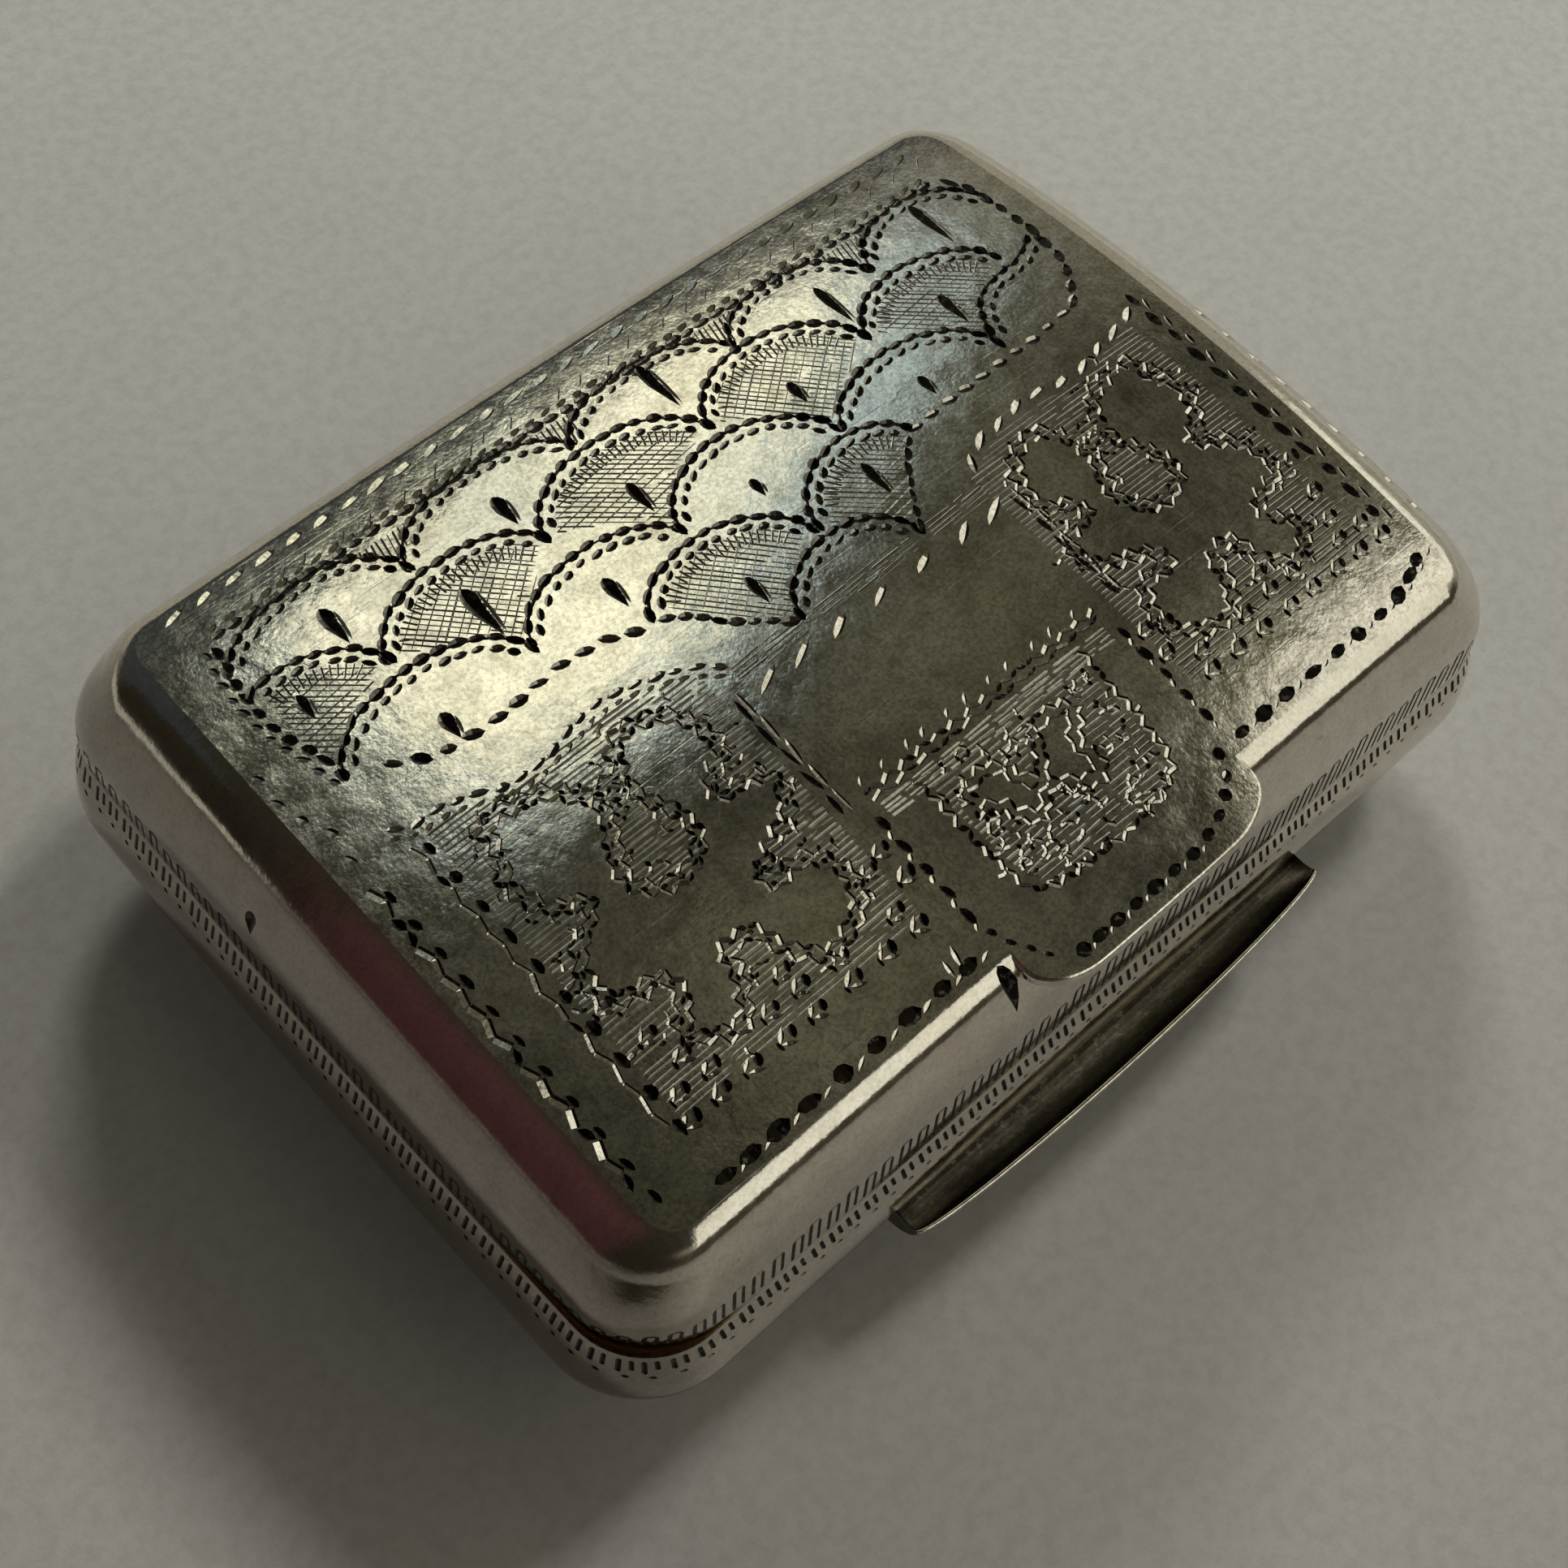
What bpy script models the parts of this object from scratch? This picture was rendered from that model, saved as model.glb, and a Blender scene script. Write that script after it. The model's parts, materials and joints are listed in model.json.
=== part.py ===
"""Silver vinaigrette in the form of a purse.

A raised base holds a sponge under a hinged, pierced grille. A raised lid with a strap tongue shuts over a
gilt bezel and turns on a five-tube hinge along the back. Front is -Y, the hinge is at +Y, and the box rests
on the flat of its base at z = 0.
"""
import math

import bmesh
import bpy
from mathutils import Matrix, Vector

MM = 0.001

# Seam: the plan of the box where lid and base meet
SEAM_LENGTH = 30.2 * MM
SEAM_WIDTH = 22.1 * MM
SEAM_CORNER_RADIUS = 2.1 * MM
END_BOW = 0.20 * MM
SEAM_GAP = 0.05 * MM
WALL = 0.45 * MM
SOLDER_GAP = 0.05 * MM

# Base: it swells below the seam, then turns under to a flat foot
BASE_HEIGHT = 5.4 * MM
BELLY_END_REACH = 0.50 * MM
BELLY_FRONT_REACH = 0.40 * MM
BELLY_CORNER_RADIUS = 2.6 * MM
FOOT_LENGTH = 15.0 * MM
FOOT_WIDTH = 8.5 * MM
FOOT_CORNER_RADIUS = 3.6 * MM
# Each row: share of the base's height below the seam, share of the way from the seam out to the belly
SWELL_SHARES = ((0.0, 0.0), (0.07, 0.34), (0.16, 0.70), (0.26, 0.93), (0.34, 1.0))
# Each row: share of the base's height below the seam, share of the way from the foot out to the belly
TURN_SHARES = ((0.50, 0.965), (0.66, 0.875), (0.80, 0.70), (0.91, 0.46), (0.98, 0.20), (1.0, 0.0))

# Lid: walls lean in from the seam to the crease, and the top is a low cushion
LID_RISE = 3.15 * MM
LID_END_LEAN = 0.83 * MM
LID_FRONT_LEAN = 1.07 * MM
LID_SWELL = 0.07 * MM
CREASE_CORNER_RADIUS = 1.9 * MM
END_FILLET = 0.90 * MM
FRONT_FILLET = 0.35 * MM
DOME_ALONG = 0.36 * MM
DOME_ACROSS = 0.65 * MM
WALL_RING_SHARES = (0.0, 0.35, 0.7, 1.0)
DOME_RING_SHARES = (0.86, 0.66, 0.42, 0.16)
FILLET_STEPS = 3

# Strap tongue: the tab off the front edge of the lid
TONGUE_WIDTH = 8.0 * MM
TONGUE_OFFSET = 0.75 * MM
TONGUE_OVERHANG = 1.15 * MM
TONGUE_THICKNESS = 0.38 * MM
TONGUE_CORNER_LENGTH = 1.7 * MM
TONGUE_CORNER_DEPTH = 0.95 * MM
TONGUE_ROOT_GAP = 0.12 * MM
TONGUE_TILT = math.radians(9)

# Lip: the crescent pocket on the front of the base
LIP_LENGTH = 14.6 * MM
LIP_REACH = 1.20 * MM
LIP_END_REACH = 0.35 * MM
LIP_RIM = 0.20 * MM
LIP_FLARE = 0.22 * MM
LIP_END_WALL = 0.30 * MM
LIP_BOTTOM_SHARE = 0.63
LIP_FLOOR_SHARE = 0.55
LIP_RIM_SHARE = 0.43
LIP_STATIONS = 12

# Bezel: the flange that the lid shuts over
BEZEL_THICKNESS = 0.28 * MM
BEZEL_DEPTH = 1.1 * MM
BEZEL_STAND = 0.8 * MM
BEZEL_FIT_GAP = 0.08 * MM
BEZEL_BACK_GAP = 2.1 * MM

# Lid hinge: five tubes on one pin, the outer and middle ones on the base
HINGE_LENGTH_SHARE = 0.73
HINGE_LENGTH = HINGE_LENGTH_SHARE * SEAM_LENGTH
HINGE_SETBACK = 0.40 * MM
HINGE_TUBES = 5
KNUCKLE_RADIUS = 0.50 * MM
KNUCKLE_END_GAP = 0.06 * MM
PIN_RADIUS = 0.22 * MM
PIN_CLEARANCE = 0.035 * MM
PLUG_LENGTH = 0.40 * MM
PLUG_GAP = 0.06 * MM
BEARER_THICKNESS = 0.15 * MM
BEARER_CLEARANCE = 0.06 * MM
LID_BEARER_ANGLE = math.radians(48)
BASE_BEARER_ANGLE = math.radians(68)

# Grille and its hinge
GRILLE_THICKNESS = 0.35 * MM
GRILLE_DEPTH = 0.15 * MM
GRILLE_EDGE_GAP = 0.09 * MM
GRILLE_CORNER_RADIUS = 1.2 * MM
GRILLE_BORDER = 1.3 * MM
GRILLE_HOLE_RADIUS = 0.92 * MM
GRILLE_SMALL_HOLE_RADIUS = 0.36 * MM
GRILLE_COLUMNS = 9
GRILLE_ROWS = 6
GRILLE_HINGE_SHARE = 0.30
GRILLE_HINGE_LENGTH = GRILLE_HINGE_SHARE * SEAM_LENGTH
GRILLE_KNUCKLE_RADIUS = 0.40 * MM
GRILLE_PIN_RADIUS = 0.15 * MM
SEAT_THICKNESS = 0.35 * MM
SEAT_LEDGE = 0.55 * MM
TAB_WIDTH = 1.8 * MM
TAB_HEIGHT = 0.30 * MM
TAB_INSET = 0.35 * MM

# Sponge
SPONGE_SIDE_GAP = 0.40 * MM
SPONGE_TOP_GAP = 0.15 * MM
SPONGE_FLOOR_GAP = 0.20 * MM

# How finely curved shapes are divided
CORNER_STEPS = 5
LONG_SIDE_STEPS = 6
SHORT_SIDE_STEPS = 4
TUBE_STEPS = 16
HOLE_STEPS = 12
SMALL_HOLE_STEPS = 6
ARC_STEPS = 6

SEAM_Z = BASE_HEIGHT
HALF_LENGTH = SEAM_LENGTH / 2
HALF_WIDTH = SEAM_WIDTH / 2
CREASE_HALF_LENGTH = HALF_LENGTH - LID_END_LEAN
CREASE_HALF_WIDTH = HALF_WIDTH - LID_FRONT_LEAN
HINGE_Y = HALF_WIDTH + HINGE_SETBACK
BEARER_INNER_RADIUS = KNUCKLE_RADIUS + BEARER_CLEARANCE
BEARER_OUTER_RADIUS = BEARER_INNER_RADIUS + BEARER_THICKNESS
GROOVE_RADIUS = BEARER_OUTER_RADIUS + SOLDER_GAP
GRILLE_TOP_Z = SEAM_Z - GRILLE_DEPTH
GRILLE_BOTTOM_Z = GRILLE_TOP_Z - GRILLE_THICKNESS
SEAT_TOP_Z = GRILLE_BOTTOM_Z - SOLDER_GAP
SEAT_BOTTOM_Z = SEAT_TOP_Z - SEAT_THICKNESS
GRILLE_HINGE_Y = HALF_WIDTH - WALL - SOLDER_GAP - GRILLE_KNUCKLE_RADIUS
GRILLE_HINGE_Z = SEAT_TOP_Z + SOLDER_GAP + GRILLE_KNUCKLE_RADIUS

SILVER = ("worn silver", (0.75, 0.73, 0.68), 0.28, 1.0)
GILT = ("fire gilding", (0.83, 0.62, 0.28), 0.25, 1.0)
WIRE = ("drawn silver wire", (0.70, 0.69, 0.66), 0.35, 1.0)
SPONGE = ("sponge", (0.66, 0.50, 0.30), 0.95, 0.0)


def clear_scene():
    for item in list(bpy.data.objects):
        bpy.data.objects.remove(item, do_unlink=True)


def make_collection(name):
    collection = bpy.data.collections.new(name)
    bpy.context.scene.collection.children.link(collection)
    return collection


def make_material(name, finish):
    """One Principled material for one piece, from a finish tuple."""
    label, colour, roughness, metallic = finish
    material = bpy.data.materials.new(f"{name} {label}")
    material.use_nodes = True
    shader = material.node_tree.nodes["Principled BSDF"]
    shader.inputs["Base Color"].default_value = (*colour, 1.0)
    shader.inputs["Roughness"].default_value = roughness
    shader.inputs["Metallic"].default_value = metallic
    material.diffuse_color = (*colour, 1.0)
    return material


def add_object(name, data, finish, collection, parent=None):
    item = bpy.data.objects.new(name, data)
    collection.objects.link(item)
    if finish:
        data.materials.append(make_material(name, finish))
    if parent:
        item.parent = parent
        item.matrix_parent_inverse = parent.matrix_world.inverted()
    return item


def mesh_object(name, bm, finish, collection, parent=None):
    """Turn a bmesh of one closed body into a named object with its faces outwards."""
    bmesh.ops.recalc_face_normals(bm, faces=bm.faces)
    mesh = bpy.data.meshes.new(name)
    bm.to_mesh(mesh)
    bm.free()
    mesh.shade_smooth()
    mesh.set_sharp_from_angle(angle=math.radians(35))
    return add_object(name, mesh, finish, collection, parent)


def blend(start, end, share):
    return start + (end - start) * share


def bowed(point, normal, half_width):
    """A point of an outline, moved out where the box's short ends bow."""
    bow = END_BOW * normal.x * (1 - (point.y / half_width) ** 2)
    return (point.x + bow, point.y, normal.x, normal.y)


def outline(half_length, half_width, radius):
    """A rounded rectangle, anticlockwise, as (x, y, normal x, normal y) points."""
    points = []
    for quarter in range(4):
        start = quarter * math.pi / 2
        side_x = 1 if quarter in (0, 3) else -1
        side_y = 1 if quarter in (0, 1) else -1
        centre = Vector((side_x * (half_length - radius), side_y * (half_width - radius)))
        for step in range(CORNER_STEPS + 1):
            angle = start + step / CORNER_STEPS * math.pi / 2
            normal = Vector((math.cos(angle), math.sin(angle)))
            point = centre + normal * radius
            points.append(bowed(point, normal, half_width))
        steps = LONG_SIDE_STEPS if quarter % 2 == 0 else SHORT_SIDE_STEPS
        along = Vector((-normal.y, normal.x))
        run = 2 * (half_length if quarter % 2 == 0 else half_width) - 2 * radius
        for step in range(1, steps):
            points.append(bowed(point + along * (run * step / steps), normal, half_width))
    return points


def level_ring(half_length, half_width, radius, z):
    return [Vector((x, y, z)) for x, y, _, _ in outline(half_length, half_width, radius)]


def skin(rings, closed):
    """Join rings of like point counts with quads; cap both ends, or close the last ring on the first."""
    bm = bmesh.new()
    loops = [[bm.verts.new(point) for point in ring] for ring in rings]
    pairs = list(zip(loops, loops[1:]))
    if closed:
        pairs.append((loops[-1], loops[0]))
    for lower, upper in pairs:
        for index, vert in enumerate(lower):
            after = (index + 1) % len(lower)
            bm.faces.new((vert, lower[after], upper[after], upper[index]))
    if not closed:
        for loop in (loops[0], loops[-1]):
            centre = sum((vert.co for vert in loop), Vector()) / len(loop)
            hub = bm.verts.new(centre)
            for index, vert in enumerate(loop):
                bm.faces.new((vert, loop[(index + 1) % len(loop)], hub))
    return bm


def base_half_sizes(share):
    """Half length, half width and corner radius of the base's outside, at a share of its height down."""
    belly_length = HALF_LENGTH + BELLY_END_REACH
    belly_width = HALF_WIDTH + BELLY_FRONT_REACH
    rows = []
    for depth, reach in SWELL_SHARES:
        rows.append((depth, blend(HALF_LENGTH, belly_length, reach), blend(HALF_WIDTH, belly_width, reach),
                     blend(SEAM_CORNER_RADIUS, BELLY_CORNER_RADIUS, reach)))
    for depth, reach in TURN_SHARES:
        rows.append((depth, blend(FOOT_LENGTH / 2, belly_length, reach), blend(FOOT_WIDTH / 2, belly_width, reach),
                     blend(FOOT_CORNER_RADIUS, BELLY_CORNER_RADIUS, reach)))
    for low, high in zip(rows, rows[1:]):
        if low[0] <= share <= high[0]:
            part = (share - low[0]) / (high[0] - low[0])
            return tuple(blend(low[i], high[i], part) for i in (1, 2, 3))
    return rows[-1][1:]


def base_depth_shares():
    return [row[0] for row in SWELL_SHARES + TURN_SHARES]


def base_rings(inset, top_z, floor_z, first_share=0.0):
    """Rings of the base's form drawn in by inset, from top_z at the seam down to floor_z."""
    rings = []
    shares = [first_share] + [share for share in base_depth_shares() if share > first_share]
    for share in shares:
        length, width, radius = base_half_sizes(share)
        z = blend(top_z, floor_z, share)
        rings.append(level_ring(length - inset, width - inset, radius - inset, z))
    return rings


def make_base_shell(collection, groove):
    outside = base_rings(0, SEAM_Z, 0)
    inside = base_rings(WALL, SEAM_Z, WALL)
    shell = mesh_object("base_shell", skin(outside[::-1] + inside, False), SILVER, collection)
    cut(shell, groove)
    return shell


def lid_bow(x, y):
    """Rise of the cushioned top above its corners."""
    along = 1 - (x / CREASE_HALF_LENGTH) ** 2
    across = 1 - (y / CREASE_HALF_WIDTH) ** 2
    return DOME_ALONG * along + DOME_ACROSS * across


def lid_rings(inset, drop):
    """Rings of the lid's form drawn in by inset and lowered by drop, from the rim up to the crown."""
    rings = []
    for share in WALL_RING_SHARES:
        swell = LID_SWELL * math.sin(math.pi * share)
        length = blend(HALF_LENGTH, CREASE_HALF_LENGTH, share) + swell - inset
        width = blend(HALF_WIDTH, CREASE_HALF_WIDTH, share) + swell - inset
        radius = blend(SEAM_CORNER_RADIUS, CREASE_CORNER_RADIUS, share) - inset
        ring = []
        for x, y, normal_x, normal_y in outline(length, width, radius):
            fillet = END_FILLET * normal_x ** 2 + FRONT_FILLET * normal_y ** 2
            top = LID_RISE + lid_bow(x, y) - fillet - drop
            ring.append(Vector((x, y, SEAM_Z + blend(SEAM_GAP, top, share))))
        rings.append(ring)
    crease = outline(CREASE_HALF_LENGTH - inset, CREASE_HALF_WIDTH - inset, CREASE_CORNER_RADIUS - inset)
    for step in range(1, FILLET_STEPS + 1):
        turn = step / FILLET_STEPS * math.pi / 2
        ring = []
        for x, y, normal_x, normal_y in crease:
            fillet = END_FILLET * normal_x ** 2 + FRONT_FILLET * normal_y ** 2
            place_x = x - normal_x * fillet * (1 - math.cos(turn))
            place_y = y - normal_y * fillet * (1 - math.cos(turn))
            rise = LID_RISE + lid_bow(place_x, place_y) - fillet * (1 - math.sin(turn)) - drop
            ring.append(Vector((place_x, place_y, SEAM_Z + rise)))
        rings.append(ring)
    edge = rings[-1]
    for share in DOME_RING_SHARES:
        ring = []
        for point in edge:
            rise = LID_RISE + lid_bow(point.x * share, point.y * share) - drop
            ring.append(Vector((point.x * share, point.y * share, SEAM_Z + rise)))
        rings.append(ring)
    return rings


def make_lid_shell(collection, parent, groove):
    rings = lid_rings(0, 0)[::-1] + lid_rings(WALL, WALL)
    shell = mesh_object("lid_shell", skin(rings, False), SILVER, collection, parent)
    cut(shell, groove)
    return shell


def cut(item, cutter):
    modifier = item.modifiers.new("cut", "BOOLEAN")
    modifier.operation = "DIFFERENCE"
    modifier.solver = "EXACT"
    modifier.object = cutter


def rod(name, radius, length, centre, finish, collection, parent=None, steps=TUBE_STEPS):
    """A solid round bar along X."""
    bm = bmesh.new()
    bmesh.ops.create_cone(bm, cap_ends=True, cap_tris=False, segments=steps, radius1=radius, radius2=radius,
                          depth=length, matrix=Matrix.Rotation(math.pi / 2, 4, "Y"))
    bmesh.ops.translate(bm, verts=bm.verts, vec=centre)
    return mesh_object(name, bm, finish, collection, parent)


def make_cutter(item):
    item.hide_render = True
    item.display_type = "WIRE"
    return item


def box_cutter(name, size, centre, collection):
    bm = bmesh.new()
    bmesh.ops.create_cube(bm, size=1)
    bmesh.ops.scale(bm, vec=size, verts=bm.verts)
    bmesh.ops.translate(bm, vec=centre, verts=bm.verts)
    return make_cutter(mesh_object(name, bm, None, collection))


def tube(name, outer, inner, length, centre, finish, collection, parent=None):
    """A hinge tube along X: a square-cornered section turned about its bore."""
    half = length / 2
    section = ((outer, half), (outer, -half), (inner, -half), (inner, half))
    bm = bmesh.new()
    verts = [bm.verts.new((radius, 0, z)) for radius, z in section]
    for index, vert in enumerate(verts):
        bm.edges.new((vert, verts[(index + 1) % len(verts)]))
    mesh = bpy.data.meshes.new(name)
    bm.to_mesh(mesh)
    bm.free()
    item = add_object(name, mesh, finish, collection)
    item.location = centre
    item.rotation_euler = (0, math.pi / 2, 0)
    screw = item.modifiers.new("turn", "SCREW")
    screw.steps = TUBE_STEPS
    screw.render_steps = TUBE_STEPS
    screw.use_merge_vertices = True
    screw.merge_threshold = 0.000001
    if parent:
        bpy.context.view_layer.update()
        item.parent = parent
        item.matrix_parent_inverse = parent.matrix_world.inverted()
    return item


def plate(name, outlines, thickness, matrix, finish, collection, parent=None):
    """A flat plate from outlines in its own plane; inner outlines are holes."""
    curve = bpy.data.curves.new(name, "CURVE")
    curve.dimensions = "2D"
    curve.fill_mode = "BOTH"
    curve.extrude = thickness / 2
    for points in outlines:
        spline = curve.splines.new("POLY")
        spline.points.add(len(points) - 1)
        for target, (x, y) in zip(spline.points, points):
            target.co = (x, y, 0, 1)
        spline.use_cyclic_u = True
    item = add_object(name, curve, finish, collection)
    item.matrix_world = matrix
    if parent:
        bpy.context.view_layer.update()
        item.parent = parent
        item.matrix_parent_inverse = parent.matrix_world.inverted()
    return item


def circle(centre_x, centre_y, radius, steps):
    turns = (2 * math.pi * step / steps for step in range(steps))
    return [(centre_x + radius * math.cos(turn), centre_y + radius * math.sin(turn)) for turn in turns]


def arc(centre_x, centre_y, radius, start, end, steps):
    turns = (blend(start, end, step / steps) for step in range(steps + 1))
    return [(centre_x + radius * math.cos(turn), centre_y + radius * math.sin(turn)) for turn in turns]


def along_x(x, y, z):
    """Stand a plate's plane across X: its own x becomes Y, its own y becomes Z."""
    matrix = Matrix(((0, 0, 1, x), (1, 0, 0, y), (0, 1, 0, z), (0, 0, 0, 1)))
    return matrix


def make_bearer(name, start, end, collection, parent):
    """A curved strip that a row of hinge tubes lies in."""
    inner = arc(0, 0, BEARER_INNER_RADIUS, start, end, ARC_STEPS)
    outer = arc(0, 0, BEARER_OUTER_RADIUS, end, start, ARC_STEPS)
    return plate(name, [inner + outer], HINGE_LENGTH, along_x(0, HINGE_Y, SEAM_Z), SILVER, collection, parent)


def make_hinge(collection, lid_parent):
    seam_turn = math.asin(SEAM_GAP / BEARER_INNER_RADIUS)
    make_bearer("lid_hinge_bearer", math.pi - LID_BEARER_ANGLE, math.pi - seam_turn, collection, lid_parent)
    make_bearer("base_hinge_bearer", math.pi, math.pi + BASE_BEARER_ANGLE, collection, None)
    pitch = HINGE_LENGTH / HINGE_TUBES
    counts = {"base": 0, "lid": 0}
    for index in range(HINGE_TUBES):
        owner = "base" if index % 2 == 0 else "lid"
        counts[owner] += 1
        centre = Vector(((index + 0.5) * pitch - HINGE_LENGTH / 2, HINGE_Y, SEAM_Z))
        tube(f"{owner}_knuckle_{counts[owner]}", KNUCKLE_RADIUS, PIN_RADIUS + PIN_CLEARANCE,
             pitch - KNUCKLE_END_GAP, centre, SILVER, collection, lid_parent if owner == "lid" else None)
    pin_length = HINGE_LENGTH - KNUCKLE_END_GAP - 2 * (PLUG_LENGTH + PLUG_GAP)
    rod("lid_hinge_pin", PIN_RADIUS, pin_length, Vector((0, HINGE_Y, SEAM_Z)), WIRE, collection)
    plug_x = pin_length / 2 + PLUG_GAP + PLUG_LENGTH / 2
    for side, sign in (("left", -1), ("right", 1)):
        rod(f"pin_plug_{side}", PIN_RADIUS, PLUG_LENGTH, Vector((sign * plug_x, HINGE_Y, SEAM_Z)), SILVER,
            collection)


def lid_inner_half_sizes(height):
    """Inside of the lid's wall at a height above the seam, at its least."""
    end_share = height / (LID_RISE - END_FILLET)
    front_share = height / (LID_RISE - FRONT_FILLET)
    return (HALF_LENGTH - LID_END_LEAN * end_share - WALL, HALF_WIDTH - LID_FRONT_LEAN * front_share - WALL)


def bezel_sections():
    """Outer half sizes of the bezel at its foot, at the seam and at its top, with their heights."""
    base_length = HALF_LENGTH - WALL - SOLDER_GAP
    base_width = HALF_WIDTH - WALL - SOLDER_GAP
    top_length, top_width = lid_inner_half_sizes(BEZEL_STAND)
    return ((base_length, base_width, SEAM_Z - BEZEL_DEPTH), (base_length, base_width, SEAM_Z - SEAM_GAP),
            (top_length - BEZEL_FIT_GAP, top_width - BEZEL_FIT_GAP, SEAM_Z + BEZEL_STAND))


def grille_half_sizes():
    """The grille passes the bezel's mouth with a running gap all round."""
    length, width, _ = bezel_sections()[-1]
    return (length - BEZEL_THICKNESS - GRILLE_EDGE_GAP, width - BEZEL_THICKNESS - GRILLE_EDGE_GAP)


def make_bezel(collection, cutters):
    """A flange round the front and sides; it stops short of the back, where the lid and grille turn."""
    radius = SEAM_CORNER_RADIUS - WALL
    inner_radius = radius - BEZEL_THICKNESS
    outer = [level_ring(length, width, radius, z) for length, width, z in bezel_sections()]
    inner = [level_ring(length - BEZEL_THICKNESS, width - BEZEL_THICKNESS, inner_radius, z)
             for length, width, z in bezel_sections()]
    bezel = mesh_object("base_bezel", skin(outer + inner[::-1], True), GILT, collection)
    gap_height = 2 * (BEZEL_DEPTH + BEZEL_STAND)
    cutter = box_cutter("bezel_gap", (SEAM_LENGTH, 2 * BEZEL_BACK_GAP, gap_height), (0, HALF_WIDTH, SEAM_Z), cutters)
    cut(bezel, cutter)


def make_seat(collection):
    length, width, _ = bezel_sections()[0]
    outer_length = length - BEZEL_THICKNESS - SOLDER_GAP
    outer_width = width - BEZEL_THICKNESS - SOLDER_GAP
    radius = SEAM_CORNER_RADIUS - WALL - BEZEL_THICKNESS
    inner_length, inner_width = (half - SEAT_LEDGE for half in grille_half_sizes())
    rings = [level_ring(outer_length, outer_width, radius, SEAT_BOTTOM_Z),
             level_ring(outer_length, outer_width, radius, SEAT_TOP_Z),
             level_ring(inner_length, inner_width, radius, SEAT_TOP_Z),
             level_ring(inner_length, inner_width, radius, SEAT_BOTTOM_Z)]
    mesh_object("grille_seat", skin(rings, True), GILT, collection)


def grille_back_y():
    return GRILLE_HINGE_Y - GRILLE_KNUCKLE_RADIUS - SOLDER_GAP


def make_grille(collection, parent):
    """A plate pierced in rows of round holes, with small holes between them, hinged along its back edge."""
    half_length, half_width = grille_half_sizes()
    back = grille_back_y()
    depth = back + half_width
    centre_y = back - depth / 2
    edge = [(x, y) for x, y, _, _ in outline(half_length, depth / 2, GRILLE_CORNER_RADIUS)]
    pitch_x = (2 * half_length - 2 * GRILLE_BORDER) / GRILLE_COLUMNS
    pitch_y = (depth - 2 * GRILLE_BORDER) / GRILLE_ROWS
    outlines = [edge]
    for column in range(GRILLE_COLUMNS):
        for row in range(GRILLE_ROWS):
            x = (column - (GRILLE_COLUMNS - 1) / 2) * pitch_x
            y = (row - (GRILLE_ROWS - 1) / 2) * pitch_y
            outlines.append(circle(x, y, GRILLE_HOLE_RADIUS, HOLE_STEPS))
            if column and row:
                outlines.append(circle(x - pitch_x / 2, y - pitch_y / 2, GRILLE_SMALL_HOLE_RADIUS,
                                       SMALL_HOLE_STEPS))
    place = Matrix.Translation((0, centre_y, GRILLE_TOP_Z - GRILLE_THICKNESS / 2))
    plate("grille_plate", outlines, GRILLE_THICKNESS, place, GILT, collection, parent)
    tab_y = -half_width + TAB_INSET
    tab = arc(0, 0, TAB_WIDTH / 2, 0, math.pi, ARC_STEPS)
    place = Matrix.Translation((0, tab_y, GRILLE_TOP_Z + SOLDER_GAP + TAB_HEIGHT / 2))
    plate("grille_tab", [tab], TAB_HEIGHT, place, GILT, collection, parent)


def make_grille_hinge(collection, parent):
    pitch = GRILLE_HINGE_LENGTH / 3
    names = ("grille_base_knuckle_1", "grille_knuckle", "grille_base_knuckle_2")
    for index, name in enumerate(names):
        centre = Vector(((index - 1) * pitch, GRILLE_HINGE_Y, GRILLE_HINGE_Z))
        tube(name, GRILLE_KNUCKLE_RADIUS, GRILLE_PIN_RADIUS + PIN_CLEARANCE, pitch - KNUCKLE_END_GAP, centre,
             GILT, collection, parent if name == "grille_knuckle" else None)
    rod("grille_pin", GRILLE_PIN_RADIUS, GRILLE_HINGE_LENGTH, Vector((0, GRILLE_HINGE_Y, GRILLE_HINGE_Z)), WIRE,
        collection)


def make_sponge(collection):
    top_z = min(SEAT_BOTTOM_Z, SEAM_Z - BEZEL_DEPTH) - SPONGE_TOP_GAP
    first = (SEAM_Z - top_z) / (SEAM_Z - WALL)
    rings = base_rings(WALL + SPONGE_SIDE_GAP, SEAM_Z, WALL + SPONGE_FLOOR_GAP, first)
    mesh_object("sponge", skin(rings, False), SPONGE, collection)


def make_tongue(collection, parent):
    """A tab with rounded corners, tilted to run on from the cushioned top."""
    half = TONGUE_WIDTH / 2
    corner = [(x * TONGUE_CORNER_LENGTH, y * TONGUE_CORNER_DEPTH)
              for x, y in arc(0, 0, 1, math.pi, 1.5 * math.pi, ARC_STEPS)]
    centre_x = half - TONGUE_CORNER_LENGTH
    centre_y = TONGUE_CORNER_DEPTH - TONGUE_OVERHANG
    left = [(x - centre_x, y + centre_y) for x, y in corner]
    right = [(-x, y) for x, y in left[::-1]]
    edge = left + right + [(half, 0), (-half, 0)]
    root_y = -(CREASE_HALF_WIDTH + TONGUE_ROOT_GAP)
    root_z = SEAM_Z + LID_RISE + lid_bow(0, CREASE_HALF_WIDTH) - TONGUE_THICKNESS / 2
    turn = Matrix.Rotation(TONGUE_TILT, 4, "X")
    place = Matrix.Translation((TONGUE_OFFSET, root_y, root_z)) @ turn
    plate("strap_tongue", [edge], TONGUE_THICKNESS, place, SILVER, collection, parent)


def base_front_y(share):
    return -base_half_sizes(share)[1]


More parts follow.
